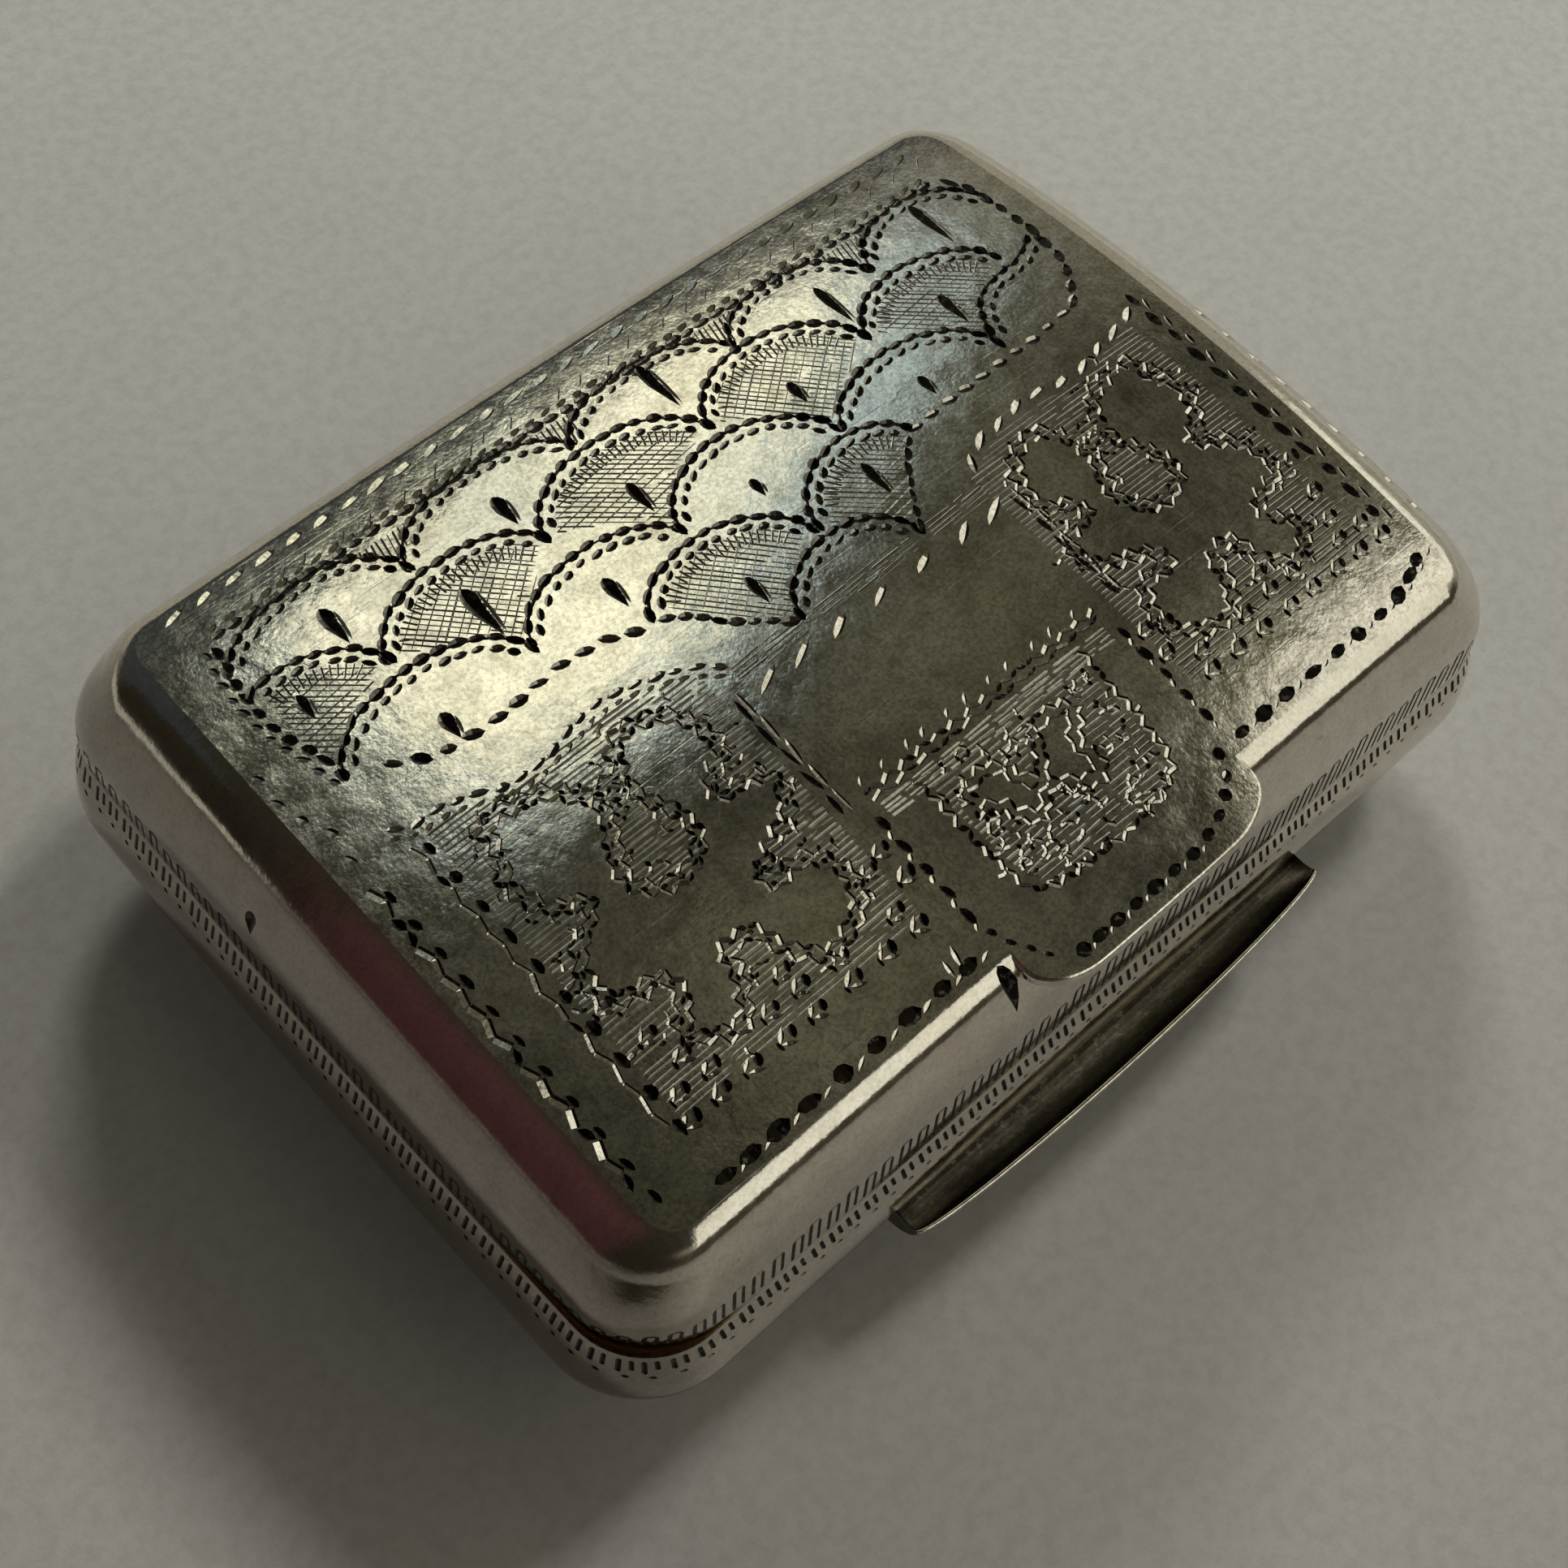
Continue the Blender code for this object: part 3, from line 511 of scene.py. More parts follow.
class Graver:
    """Collects the strokes of one sheet. Each call cuts one kind of line, a little uneven, as by hand."""

    def __init__(self, seed):
        self.cuts = []
        self.hand = random.Random(seed)

    def shake(self, size):
        return self.hand.uniform(-size, size)

    def one(self, *place, **look):
        self.cuts.append(stroke(*place, **look))

    def at(self, x, y, turn, length, width, *shape, **look):
        """One cut about its middle."""
        length *= 1 + self.shake(0.18)
        turn += self.shake(0.12)
        half_x = math.cos(turn) * length / 2
        half_y = math.sin(turn) * length / 2
        width *= 1 + self.shake(0.22)
        self.one(x - half_x, y - half_y, x + half_x, y + half_y, width, *shape, **look)

    def bright(self, x, y, turn, length, width, shape="cut"):
        """A cut whose clean wide side faces the front right, where the room is bright; its steep side, facing
        away, is darkened as painted shade.
        """
        self.at(x, y, turn, length, width, shape, **BRIGHT)

    def chain(self, points, pitch, length, width, lean=0.0, smooth=True, loose=0.03, dark=0.8, **look):
        """A row of like cuts along a line, each turned by lean."""
        for x, y, turn in walk(smooth_line(points) if smooth else points, pitch):
            x += self.shake(loose)
            y += self.shake(loose)
            self.at(x, y, turn + lean, length, width, "leaf", dark=dark, **look)

    def bright_chain(self, points, pitch, length, width, lean=0.0, smooth=True):
        self.chain(points, pitch, length, width, lean, smooth, 0.02, **BRIGHT)

    def run(self, start, end, width, bright):
        """One leg of an unbroken line, bright or black by chance."""
        if self.hand.random() < bright:
            self.one(*start, *end, width * (1 + self.shake(0.25)), "line", **BRIGHT)
        else:
            self.one(*start, *end, width * (1.2 + self.shake(0.25)), **BLACK)

    def wriggle(self, points, pitch, swing, width, bright=0.75):
        """Wriggle work: one unbroken line that turns to and fro."""
        places = []
        for index, (x, y, turn) in enumerate(walk(smooth_line(points), pitch)):
            off = swing * (1 if index % 2 else -1) + self.shake(swing * 0.5)
            places.append((x - math.sin(turn) * off, y + math.cos(turn) * off))
        for start, end in zip(places, places[1:]):
            self.run(start, end, width, bright)

    def squiggle(self, x, y, steps, width, bright=0.7):
        """A short crooked line of pricks run together."""
        turn = self.hand.uniform(0, 2 * math.pi)
        for _ in range(steps):
            turn += self.hand.choice((-1, 1)) * self.hand.uniform(0.5, 1.2)
            end = (x + 0.19 * math.cos(turn), y + 0.19 * math.sin(turn))
            self.run((x, y), end, width, bright)
            x, y = end

    def thread(self, points, pitch, width):
        """A thin unbroken line under a chain."""
        places = walk(points, pitch)
        for (x0, y0, _), (x1, y1, _) in zip(places, places[1:]):
            self.one(x0, y0, x1, y1, width * (1 + self.shake(0.3)), "line", 0.8, dark=0.97, light=0.9)

    def comb(self, points, pitch, length, width, dark):
        """Short fine lines that hang from a line, to its right."""
        for x, y, turn in walk(smooth_line(points), pitch):
            reach = length * (1 + self.shake(0.15))
            turn -= math.pi / 2
            self.one(x, y, x + math.cos(turn) * reach, y + math.sin(turn) * reach, width, "line", 1.0, dark)

    def hatch(self, loops, turn, pitch, width, dark, deep=1.0, longest=2.4, gap=0.05, light=0.0):
        """Fine parallel lines inside outlines; an outline inside another leaves its area plain."""
        along = np.array([math.cos(turn), math.sin(turn)])
        off = np.array([-along[1], along[0]])
        corners = np.vstack([np.asarray(loop, float) for loop in loops])
        low = (corners @ off).min()
        high = (corners @ off).max()
        level = low + pitch / 2
        while level < high:
            crossings = []
            for loop in loops:
                loop = np.asarray(loop, float)
                for start, end in zip(loop, np.roll(loop, -1, axis=0)):
                    a = start @ off - level
                    b = end @ off - level
                    if (a > 0) != (b > 0):
                        crossings.append(mix(start, end, a / (a - b)) @ along)
            crossings.sort()
            for start, end in zip(crossings[::2], crossings[1::2]):
                start += gap
                end -= gap
                while end - start > 0.12:
                    stop = min(end, start + longest * (1 + self.shake(0.3)))
                    if end - stop < 0.25:
                        stop = end
                    first = along * start + off * (level + self.shake(pitch * 0.16))
                    last = along * stop + off * (level + self.shake(pitch * 0.16))
                    thick = width * (1 + self.shake(0.35))
                    self.one(*first, *last, thick, "line", deep * (1 + self.shake(0.3)), dark, light)
                    start = stop + 0.03 + abs(self.shake(0.12))
            level += pitch


# The pattern on the top: a purse flap of scales over two scroll panels, a plain cartouche and a strap

# Each scale: left cusp, crown, right cusp
PLAIN_SCALES = (
    ((-11.9, 7.0), (-9.2, 8.2), (-7.0, 6.6)), ((-7.0, 6.6), (-4.4, 8.2), (-1.7, 6.9)),
    ((-1.7, 6.9), (0.9, 8.1), (3.4, 6.8)), ((3.6, 6.8), (5.8, 8.0), (8.0, 6.4)),
    ((8.2, 6.4), (10.4, 7.9), (12.4, 6.2)),
    ((-11.6, 3.0), (-8.9, 4.45), (-6.3, 2.8)), ((-6.2, 2.9), (-3.8, 4.35), (-1.5, 3.1)),
    ((-1.4, 3.1), (1.0, 4.8), (3.6, 2.9)), ((3.8, 2.9), (6.3, 4.15), (8.8, 2.4)),
    ((8.9, 2.3), (10.6, 4.2), (12.3, 4.9)), ((-0.9, -0.6), (1.2, 0.85), (3.0, -0.6)),
)
HATCHED_SCALES = (
    ((-11.95, 6.2), (-11.3, 6.45), (-9.0, 4.8)), ((-9.0, 4.8), (-6.4, 6.4), (-4.1, 5.1)),
    ((-4.0, 5.1), (-1.4, 6.75), (1.2, 5.1)), ((1.3, 5.1), (3.7, 6.7), (6.3, 4.7)),
    ((6.4, 4.7), (8.5, 6.05), (11.0, 4.5)), ((-3.6, 1.7), (-1.5, 2.85), (1.0, 1.0)),
    ((1.2, 1.0), (3.4, 2.8), (5.0, 1.8)),
)
# Outlines of the hatched ground inside each of those scales
HATCHED_FIELDS = (
    ((-11.8, 6.0), (-11.2, 6.2), (-10.1, 5.8), (-9.2, 4.95), (-10.4, 4.3), (-11.5, 3.4), (-11.85, 4.6)),
    ((-8.8, 4.9), (-7.9, 5.85), (-6.4, 6.2), (-4.9, 5.85), (-4.2, 5.15), (-5.4, 4.1), (-6.3, 3.3), (-7.1, 4.1),
     (-8.2, 4.6)),
    ((-3.8, 5.2), (-3.0, 6.2), (-1.4, 6.55), (0.3, 6.1), (1.05, 5.3), (-0.4, 4.6), (-1.4, 3.5), (-2.4, 4.4)),
    ((1.5, 5.2), (2.2, 6.1), (3.7, 6.5), (5.4, 5.85), (6.15, 4.9), (4.9, 4.1), (3.7, 3.3), (2.7, 4.5)),
    ((6.6, 4.8), (7.2, 5.5), (8.5, 5.85), (10.2, 5.35), (10.85, 4.6), (9.8, 3.8), (8.9, 2.7), (8.0, 3.8),
     (7.2, 4.4)),
    ((-3.3, 1.8), (-2.5, 2.4), (-1.5, 2.65), (0.1, 2.1), (0.8, 1.2), (-0.2, 0.5), (-0.9, -0.4), (-1.9, 0.3),
     (-2.6, 1.1)),
    ((1.4, 1.1), (2.0, 2.1), (3.4, 2.6), (4.5, 2.25), (4.85, 1.8), (4.2, 0.9), (3.2, -0.3), (2.3, 0.6)),
)
# Each drop: x, top, bottom, width
DROPS = (
    (-9.3, 7.2, 5.95, 0.46), (-4.2, 7.05, 6.0, 0.44), (1.2, 8.0, 6.2, 0.40), (6.5, 7.0, 5.4, 0.34),
    (10.6, 7.6, 5.8, 0.36), (-11.15, 5.6, 4.8, 0.36), (-6.5, 5.4, 3.7, 0.50), (-1.5, 5.2, 4.1, 0.36),
    (3.7, 5.0, 4.2, 0.34), (8.8, 4.7, 3.5, 0.36), (-9.0, 3.0, 2.2, 0.42), (-3.8, 3.4, 2.4, 0.40),
    (0.87, 3.3, 2.7, 0.30), (6.4, 3.0, 2.3, 0.32), (-1.2, 1.2, 0.3, 0.32), (3.3, 1.9, 0.7, 0.34),
)
FLAP_BACK = ((-11.7, 8.3), (-9.5, 8.25), (-5.0, 8.2), (0.0, 8.05), (4.0, 8.0), (8.0, 7.9), (10.5, 7.9),
             (11.7, 7.9))
FLAP_RIGHT = ((12.0, 7.8), (12.35, 7.1), (12.45, 6.3), (12.5, 5.3), (12.45, 4.3), (12.2, 3.3), (11.7, 2.6),
              (11.2, 2.15))
FLAP_FOOT_RIGHT = ((11.2, 2.15), (9.5, 2.05), (7.5, 2.0), (6.0, 1.95), (4.85, 1.85), (4.2, 1.2), (3.6, 0.4),
                   (3.0, -0.5))
FLAP_LEFT = ((-11.7, 8.1), (-11.95, 7.0), (-12.05, 6.0), (-12.0, 5.0), (-11.75, 4.0), (-11.6, 3.0))
FLAP_FOOT_LEFT = ((-10.9, 2.9), (-10.3, 2.55), (-9.8, 2.25), (-9.0, 2.1), (-8.0, 2.08), (-7.0, 2.15),
                  (-6.0, 2.2), (-5.1, 2.1), (-4.5, 1.9), (-3.9, 1.65))
FLAP_POINT_LEFT = ((-3.6, 1.65), (-3.2, 1.45), (-2.7, 1.0), (-2.2, 0.4), (-1.6, 0.0), (-1.05, -0.5))
SECOND_LEFT = ((-11.8, 1.5), (-11.3, 1.2), (-10.5, 1.1), (-9.8, 0.9), (-9.0, 0.55), (-8.0, 0.55), (-7.0, 0.75),
               (-6.0, 0.85), (-5.0, 0.65), (-4.2, 0.35), (-3.6, 0.0), (-3.2, -0.4))
SECOND_RIGHT = ((5.2, -0.1), (5.9, 0.5), (7.0, 0.65), (8.0, 0.8), (9.0, 0.6), (10.1, 0.6), (11.0, 0.8),
                (11.6, 0.9), (12.6, 1.2))
SCROLL = (
    (-10.1, -0.9), (-10.0, 0.0), (-9.2, -0.1), (-8.5, -0.3), (-8.1, -0.9), (-7.6, -0.95), (-6.85, -1.0),
    (-6.6, -0.4), (-6.0, -0.2), (-5.3, -0.5), (-5.0, -0.9), (-4.9, -1.8), (-5.5, -2.1), (-5.8, -2.6), (-5.6, -2.9),
    (-4.8, -3.0), (-4.5, -3.4), (-4.9, -4.0), (-5.5, -4.2), (-6.1, -4.5), (-6.4, -4.9), (-6.1, -5.3), (-5.5, -5.2),
    (-5.1, -5.4), (-4.8, -6.0), (-5.1, -6.6), (-5.6, -6.9), (-6.2, -7.0), (-6.6, -6.7), (-6.9, -6.2), (-7.1, -5.6),
    (-7.7, -5.4), (-8.2, -5.6), (-8.3, -6.1), (-8.6, -6.7), (-9.0, -7.0), (-9.3, -6.8), (-9.8, -6.5), (-9.6, -6.2),
    (-9.25, -5.8), (-9.3, -5.2), (-9.7, -5.0), (-10.2, -4.9), (-10.6, -4.7), (-10.6, -4.1), (-10.3, -3.6),
    (-9.8, -3.3), (-9.4, -2.9), (-9.6, -2.6), (-10.1, -2.3), (-10.4, -1.8), (-10.5, -1.3),
)
ISLAND = (
    (-7.95, -1.0), (-8.1, -1.6), (-8.6, -2.4), (-8.7, -3.0), (-8.5, -3.5), (-7.9, -3.8), (-7.2, -3.8),
    (-6.6, -3.4), (-6.4, -2.8), (-6.6, -2.1), (-6.9, -1.5), (-6.85, -1.05),
)
LEFT_PANEL = ((-11.35, 0.95), (-9.8, 0.75), (-8.9, 0.4), (-6.5, 0.65), (-5.2, 0.5), (-3.75, -0.1),
              (-3.9, -7.85), (-11.35, -7.85))
TULIP = (
    (-1.4, -6.6), (-1.2, -6.1), (-0.5, -6.0), (0.0, -6.3), (0.2, -6.8), (0.45, -7.0), (0.8, -6.6), (1.1, -6.1),
    (1.7, -5.9), (2.4, -6.1), (2.5, -6.5), (1.9, -7.0), (2.0, -7.6), (1.7, -8.1), (1.0, -7.9), (0.6, -7.5),
    (0.2, -7.7), (-0.2, -8.0), (-0.6, -7.6), (-0.9, -7.1), (-1.4, -6.9),
)
STRAP_PANEL = ((-1.9, -5.2), (-1.8, -8.2), (-1.4, -9.1), (0.9, -9.35), (2.8, -9.1), (3.4, -8.2), (3.6, -5.2))


def to_right(points):
    """The right panel mirrors the left one, a little smaller."""
    return [(1.35 - 0.955 * x, 0.96 * y - 0.1) for x, y in points]


def scale_arc(left, peak, right):
    """The line over one scale, from cusp to cusp."""
    def half(cusp, step):
        turn = step / 9 * math.pi / 2
        return peak[0] + (cusp[0] - peak[0]) * math.cos(turn), cusp[1] + (peak[1] - cusp[1]) * math.sin(turn)

    return [half(left, i) for i in range(10)] + [half(right, i) for i in reversed(range(9))]


def cut_flap(graver):
    for scale in PLAIN_SCALES + HATCHED_SCALES:
        arc = scale_arc(*scale)
        graver.chain(beside(arc, 0.06), 0.47, 0.48, 0.27, lean=0.12, dark=1.0, light=0.8, smooth=False)
        graver.thread(beside(arc, 0.06), 0.47, 0.09)
        graver.chain(beside(arc, -0.25)[1:-1], 0.42, 0.36, 0.21, lean=0.3, dark=0.97, light=0.6, smooth=False)
    for scale in HATCHED_SCALES:
        arc = beside(scale_arc(*scale), -0.34)[2:-2]
        graver.comb(arc, 0.19, 0.42, 0.06, 0.7)
    for index, field in enumerate(HATCHED_FIELDS):
        steep, flat = (-48, 38) if index % 2 else (-42, 8)
        graver.hatch([field], math.radians(steep), 0.15, 0.05, dark=0.5, deep=0.6, light=0.3)
        graver.hatch([field], math.radians(flat), 0.24, 0.04, dark=0.4, deep=0.5, light=0.3)
    for x, top, bottom, width in DROPS:
        graver.one(x, top + 0.05, x - 0.05, bottom, width * 0.95, "drop", 1.0, 0.97, 0.5)
        graver.one(x + width * 0.5, top - 0.2, x + 0.06, bottom + 0.05, width * 0.28, "leaf", 1.0, 0.15, 0.0)
    graver.chain(FLAP_BACK, 0.50, 0.52, 0.30, lean=0.08, dark=0.97, light=0.6)
    graver.bright_chain(beside(smooth_line(FLAP_BACK), 0.23), 0.50, 0.40, 0.17, lean=0.3, smooth=False)
    graver.chain(FLAP_RIGHT, 0.56, 0.54, 0.28, dark=0.95, light=0.3)
    graver.chain(FLAP_LEFT, 0.50, 0.50, 0.29, lean=0.3, dark=0.95, light=0.5)
    graver.bright_chain(beside(smooth_line(FLAP_LEFT), -0.27), 0.5, 0.38, 0.18, lean=0.5, smooth=False)
    graver.chain(FLAP_FOOT_LEFT, 0.68, 0.52, 0.27, lean=-0.25, dark=0.97, light=0.5)
    graver.chain(FLAP_FOOT_RIGHT[:5], 0.62, 0.50, 0.24, lean=-0.2, dark=0.95, light=0.3)
    graver.chain(FLAP_FOOT_RIGHT[4:], 0.44, 0.44, 0.24, lean=0.1, dark=0.95, light=0.4)
    graver.chain(FLAP_POINT_LEFT, 0.44, 0.46, 0.26, lean=0.1, dark=0.97, light=0.5)
    for x, y in ((-7.0, 7.75), (-1.7, 7.75), (3.5, 7.7), (8.1, 7.55)):
        field = ((x - 1.0, y + 0.25), (x + 1.0, y + 0.25), (x + 0.1, y - 0.85))
        graver.hatch([field], math.radians(75), 0.16, 0.06, dark=0.5)


def cut_scroll_panel(graver, move):
    """One side panel: horizontal hatching round a plain scroll, edged with a double pricked line."""
    scroll = move(SCROLL)
    island = move(ISLAND)
    panel = [move(LEFT_PANEL), scroll, island]
    graver.hatch(panel, 0.0, 0.15, 0.065, dark=0.75, deep=0.55, longest=1.5, gap=0.12, light=0.55)
    out = -1 if move is to_right else 1
    for line in (scroll, island):
        ring = list(line) + [line[0]]
        smooth = smooth_line(ring)
        graver.wriggle(ring, 0.23, 0.09, 0.12)
        graver.wriggle(beside(smooth, 0.30 * out), 0.25, 0.09, 0.11, 0.65)
        for x, y, turn in walk(beside(smooth, 0.15 * out), 0.47):
            graver.at(x, y, turn, 0.22, 0.12, **BLACK)
        for x, y, turn in walk(beside(smooth, 0.52 * out), 0.5):
            if graver.hand.random() < 0.6:
                graver.squiggle(x, y, 2, 0.09, 0.6)


TICKS = (
    (-10.4, -7.95), (-9.5, -7.95), (-8.5, -7.95), (-7.6, -7.95), (-6.5, -7.95), (-5.5, -7.95), (-4.5, -7.95),
    (-11.3, -8.0), (-11.1, -7.4), (-10.2, -7.4), (-8.4, -7.3), (-7.5, -7.3), (-6.4, -7.4), (-4.7, -7.4),
    (-10.8, -6.0), (-10.5, -6.8), (-4.5, -6.3), (-3.95, -6.1), (-3.9, -6.9), (-11.1, -4.9), (-7.6, -6.8),
)


def cut_ticks(graver, places):
    for x, y in places:
        graver.bright(x + 0.12, y + 0.12, 0.75, 0.40, 0.12)
        graver.bright(x + 0.20 + graver.shake(0.05), y - 0.13, -0.5, 0.38, 0.12)
        graver.at(x + 0.40, y + 0.05, 1.2, 0.34, 0.20, "leaf", **BLACK)
        graver.at(x - 0.05, y - 0.06, 1.6, 0.24, 0.11, "leaf", **BLACK)


def cut_panels(graver):
    cut_scroll_panel(graver, lambda points: points)
    cut_scroll_panel(graver, to_right)
    cut_ticks(graver, TICKS)
    cut_ticks(graver, to_right(TICKS))
    graver.chain(SECOND_LEFT, 0.50, 0.46, 0.22, lean=0.15, dark=0.92)
    graver.bright_chain(beside(smooth_line(SECOND_LEFT), -0.26), 0.42, 0.34, 0.14, lean=0.3, smooth=False)
    graver.bright_chain(SECOND_RIGHT, 0.74, 0.60, 0.22, lean=0.35)
    graver.wriggle(((-11.60, 1.0), (-11.62, -3.5), (-11.58, -8.0)), 0.46, 0.06, 0.12, 0.9)
    y = 0.9
    while y > -7.9:
        graver.at(-11.34, y - 0.42, -1.5, 0.44, 0.28, "leaf", **BLACK)
        y -= 0.93
    for y in (-2.05, -4.05, -6.1):
        graver.bright(-11.12, y, 0.04, 0.45, 0.12)
    graver.chain(((12.7, 1.7), (12.7, -7.5)), 0.75, 0.60, 0.26, lean=0.12, dark=0.97, light=0.6, smooth=False)
    graver.bright_chain(((12.94, 1.4), (12.94, -7.8)), 0.75, 0.44, 0.13, lean=-0.2, smooth=False)
    for x, low in ((-3.75, -5.0), (5.5, -4.9)):
        graver.chain(((x, -1.1), (x + 0.03, low)), 0.8, 0.78, 0.15, lean=0.07, dark=0.95, light=0.5, smooth=False)
        graver.bright_chain(((x + 0.19, -1.0), (x + 0.22, low)), 0.8, 0.78, 0.13, lean=-0.05, smooth=False)
    for x in (-3.25, 4.85):
        graver.chain(((x, -5.3), (x, -8.8)), 0.66, 0.50, 0.24, lean=0.15, dark=0.97, light=0.6, smooth=False)
        graver.bright_chain(((x - 0.05, -5.6), (x - 0.05, -9.1)), 0.66, 0.26, 0.12, lean=-0.5, smooth=False)
    corner = ((-3.25, -8.9), (-2.95, -9.5), (-2.65, -10.0), (-2.3, -10.45))
    graver.chain(corner, 0.42, 0.34, 0.19, lean=0.1, dark=0.97)


def cut_cartouche(graver):
    """The plain middle band: fine lines and slanted dashes above it, dashes and fine lines below."""
    for low, high in ((-3.3, -1.0), (-0.6, 2.7), (3.1, 5.2)):
        field = ((low, -0.88), (high, -0.88), (high, -0.36), (low, -0.36))
        graver.hatch([field], 0.04, 0.12, 0.05, dark=0.9, deep=0.7, longest=0.9, light=0.5)
    for x in (-2.7, -1.62, -0.4, 0.95, 2.4, 3.8, 4.85):
        graver.bright(x, -1.2, 0.53, 0.80, 0.21, "leaf")
    rope = ((-3.2, -4.82), (1.0, -4.80), (4.85, -4.74))
    graver.wriggle(rope, 0.27, 0.07, 0.12, 0.85)
    graver.wriggle(beside(smooth_line(rope), -0.22), 0.36, 0.06, 0.11, 0.6)
    for x in (-2.9, -2.2, -1.4, -0.9, -0.1, 0.5, 1.3, 1.9, 2.8, 3.4, 4.2):
        graver.bright(x, -4.52, 0.9, 0.30, 0.10)
    field = ((-3.0, -5.20), (4.6, -5.20), (4.6, -5.70), (-3.0, -5.70))
    graver.hatch([field], 0.0, 0.13, 0.055, dark=0.5, deep=0.8, longest=0.8, light=0.5)


def cut_strap(graver):
    """The strap: a pricked ground round a plain tulip, and a chain along the free edge."""
    tulip = list(TULIP) + [TULIP[0]]
    graver.hatch([STRAP_PANEL, TULIP], 0.0, 0.17, 0.06, dark=0.7, deep=0.6, longest=0.7, light=0.5, gap=0.15)
    graver.wriggle(tulip, 0.22, 0.08, 0.11)
    graver.wriggle(beside(smooth_line(tulip), -0.26), 0.24, 0.08, 0.10, 0.65)
    graver.wriggle(STRAP_PANEL, 0.24, 0.09, 0.12)
    ground = shrink(TULIP, 0.12)
    for _ in range(170):
        x = graver.hand.uniform(-1.75, 3.4)
        y = graver.hand.uniform(-9.2, -5.6)
        if is_inside([(x, y)], STRAP_PANEL)[0] and not is_inside([(x, y)], ground)[0]:
            graver.squiggle(x, y, 2, 0.10)
    for x in (-1.75, -1.2, -0.62, 0.0, 0.65, 1.3, 1.95):
        graver.at(x, -10.70, 0.05, 0.48, 0.32, "leaf", **FULL_BLACK)
        graver.bright(x + 0.3, -10.78, 0.8, 0.20, 0.08)
    edge = ((2.35, -10.64), (3.15, -10.43), (3.6, -10.2), (4.0, -9.88), (4.28, -9.5), (4.36, -9.1))
    graver.chain(edge, 0.54, 0.42, 0.30, **FULL_BLACK)


def cut_borders(graver):
    for x in (-11.3, -10.6, -9.8, -8.9, -7.9, -6.9, -5.9, -4.9, -4.1):
        graver.at(x, -9.32, 0.03, 0.62, 0.36, "leaf", **FULL_BLACK)
        graver.bright(x + 0.46, -9.40, 0.4, 0.36, 0.11)
    right = [(x, -9.3) for x in (5.2, 6.0, 6.85, 7.85, 8.8, 9.6)]
    for x, y in right + [(10.5, -9.28), (11.3, -9.2), (12.0, -9.0), (12.5, -8.8)]:
        graver.at(x, y, 0.1 if x < 11 else 0.35, 0.60, 0.33, "leaf", **FULL_BLACK)
        graver.bright(x + 0.45, y - 0.02, 0.5, 0.34, 0.11)
    graver.bright(-4.48, -9.1, 1.45, 0.42, 0.12)
    graver.bright(-4.15, -8.98, 1.4, 0.55, 0.13)
    graver.wriggle(((-12.96, 0.8), (-12.99, -3.0), (-12.96, -8.55)), 0.44, 0.08, 0.18, 0.9)
    y = 0.6
    while y > -8.3:
        graver.at(-12.72, y - 0.48, 1.75, 0.46, 0.18, "leaf", **BLACK)
        y -= 0.88
    for x, y in ((-13.1, 4.4), (-13.15, 3.6), (-13.0, 2.9), (-12.7, 2.2), (-12.8, 1.4)):
        graver.bright(x, y, 1.9, 0.38, 0.20, "leaf")
    x = -11.9
    while x < 12.2:
        y = 9.4 - (x + 11.8) * 0.012
        graver.at(x, y, 0.24, 0.66, 0.22, "leaf", deep=0.5, dark=0.03, light=0.9, flip=True)
        x += 0.83 + graver.shake(0.05)
    for index in range(26):
        x = -11.5 + index * 0.93 + graver.shake(0.3)
        y = 8.65 + graver.shake(0.1)
        graver.one(x, y - 0.15, x + 0.28, y + 0.16, 0.05, "line", 0.7, 0.2)


def cut_top():
    graver = Graver(11)
    cut_flap(graver)
    cut_panels(graver)
    cut_cartouche(graver)
    cut_strap(graver)
    cut_borders(graver)
    return graver.cuts


# Skins: points, faces and corner normals of one closed piece

ANALYTIC = -1
FLAT = -2


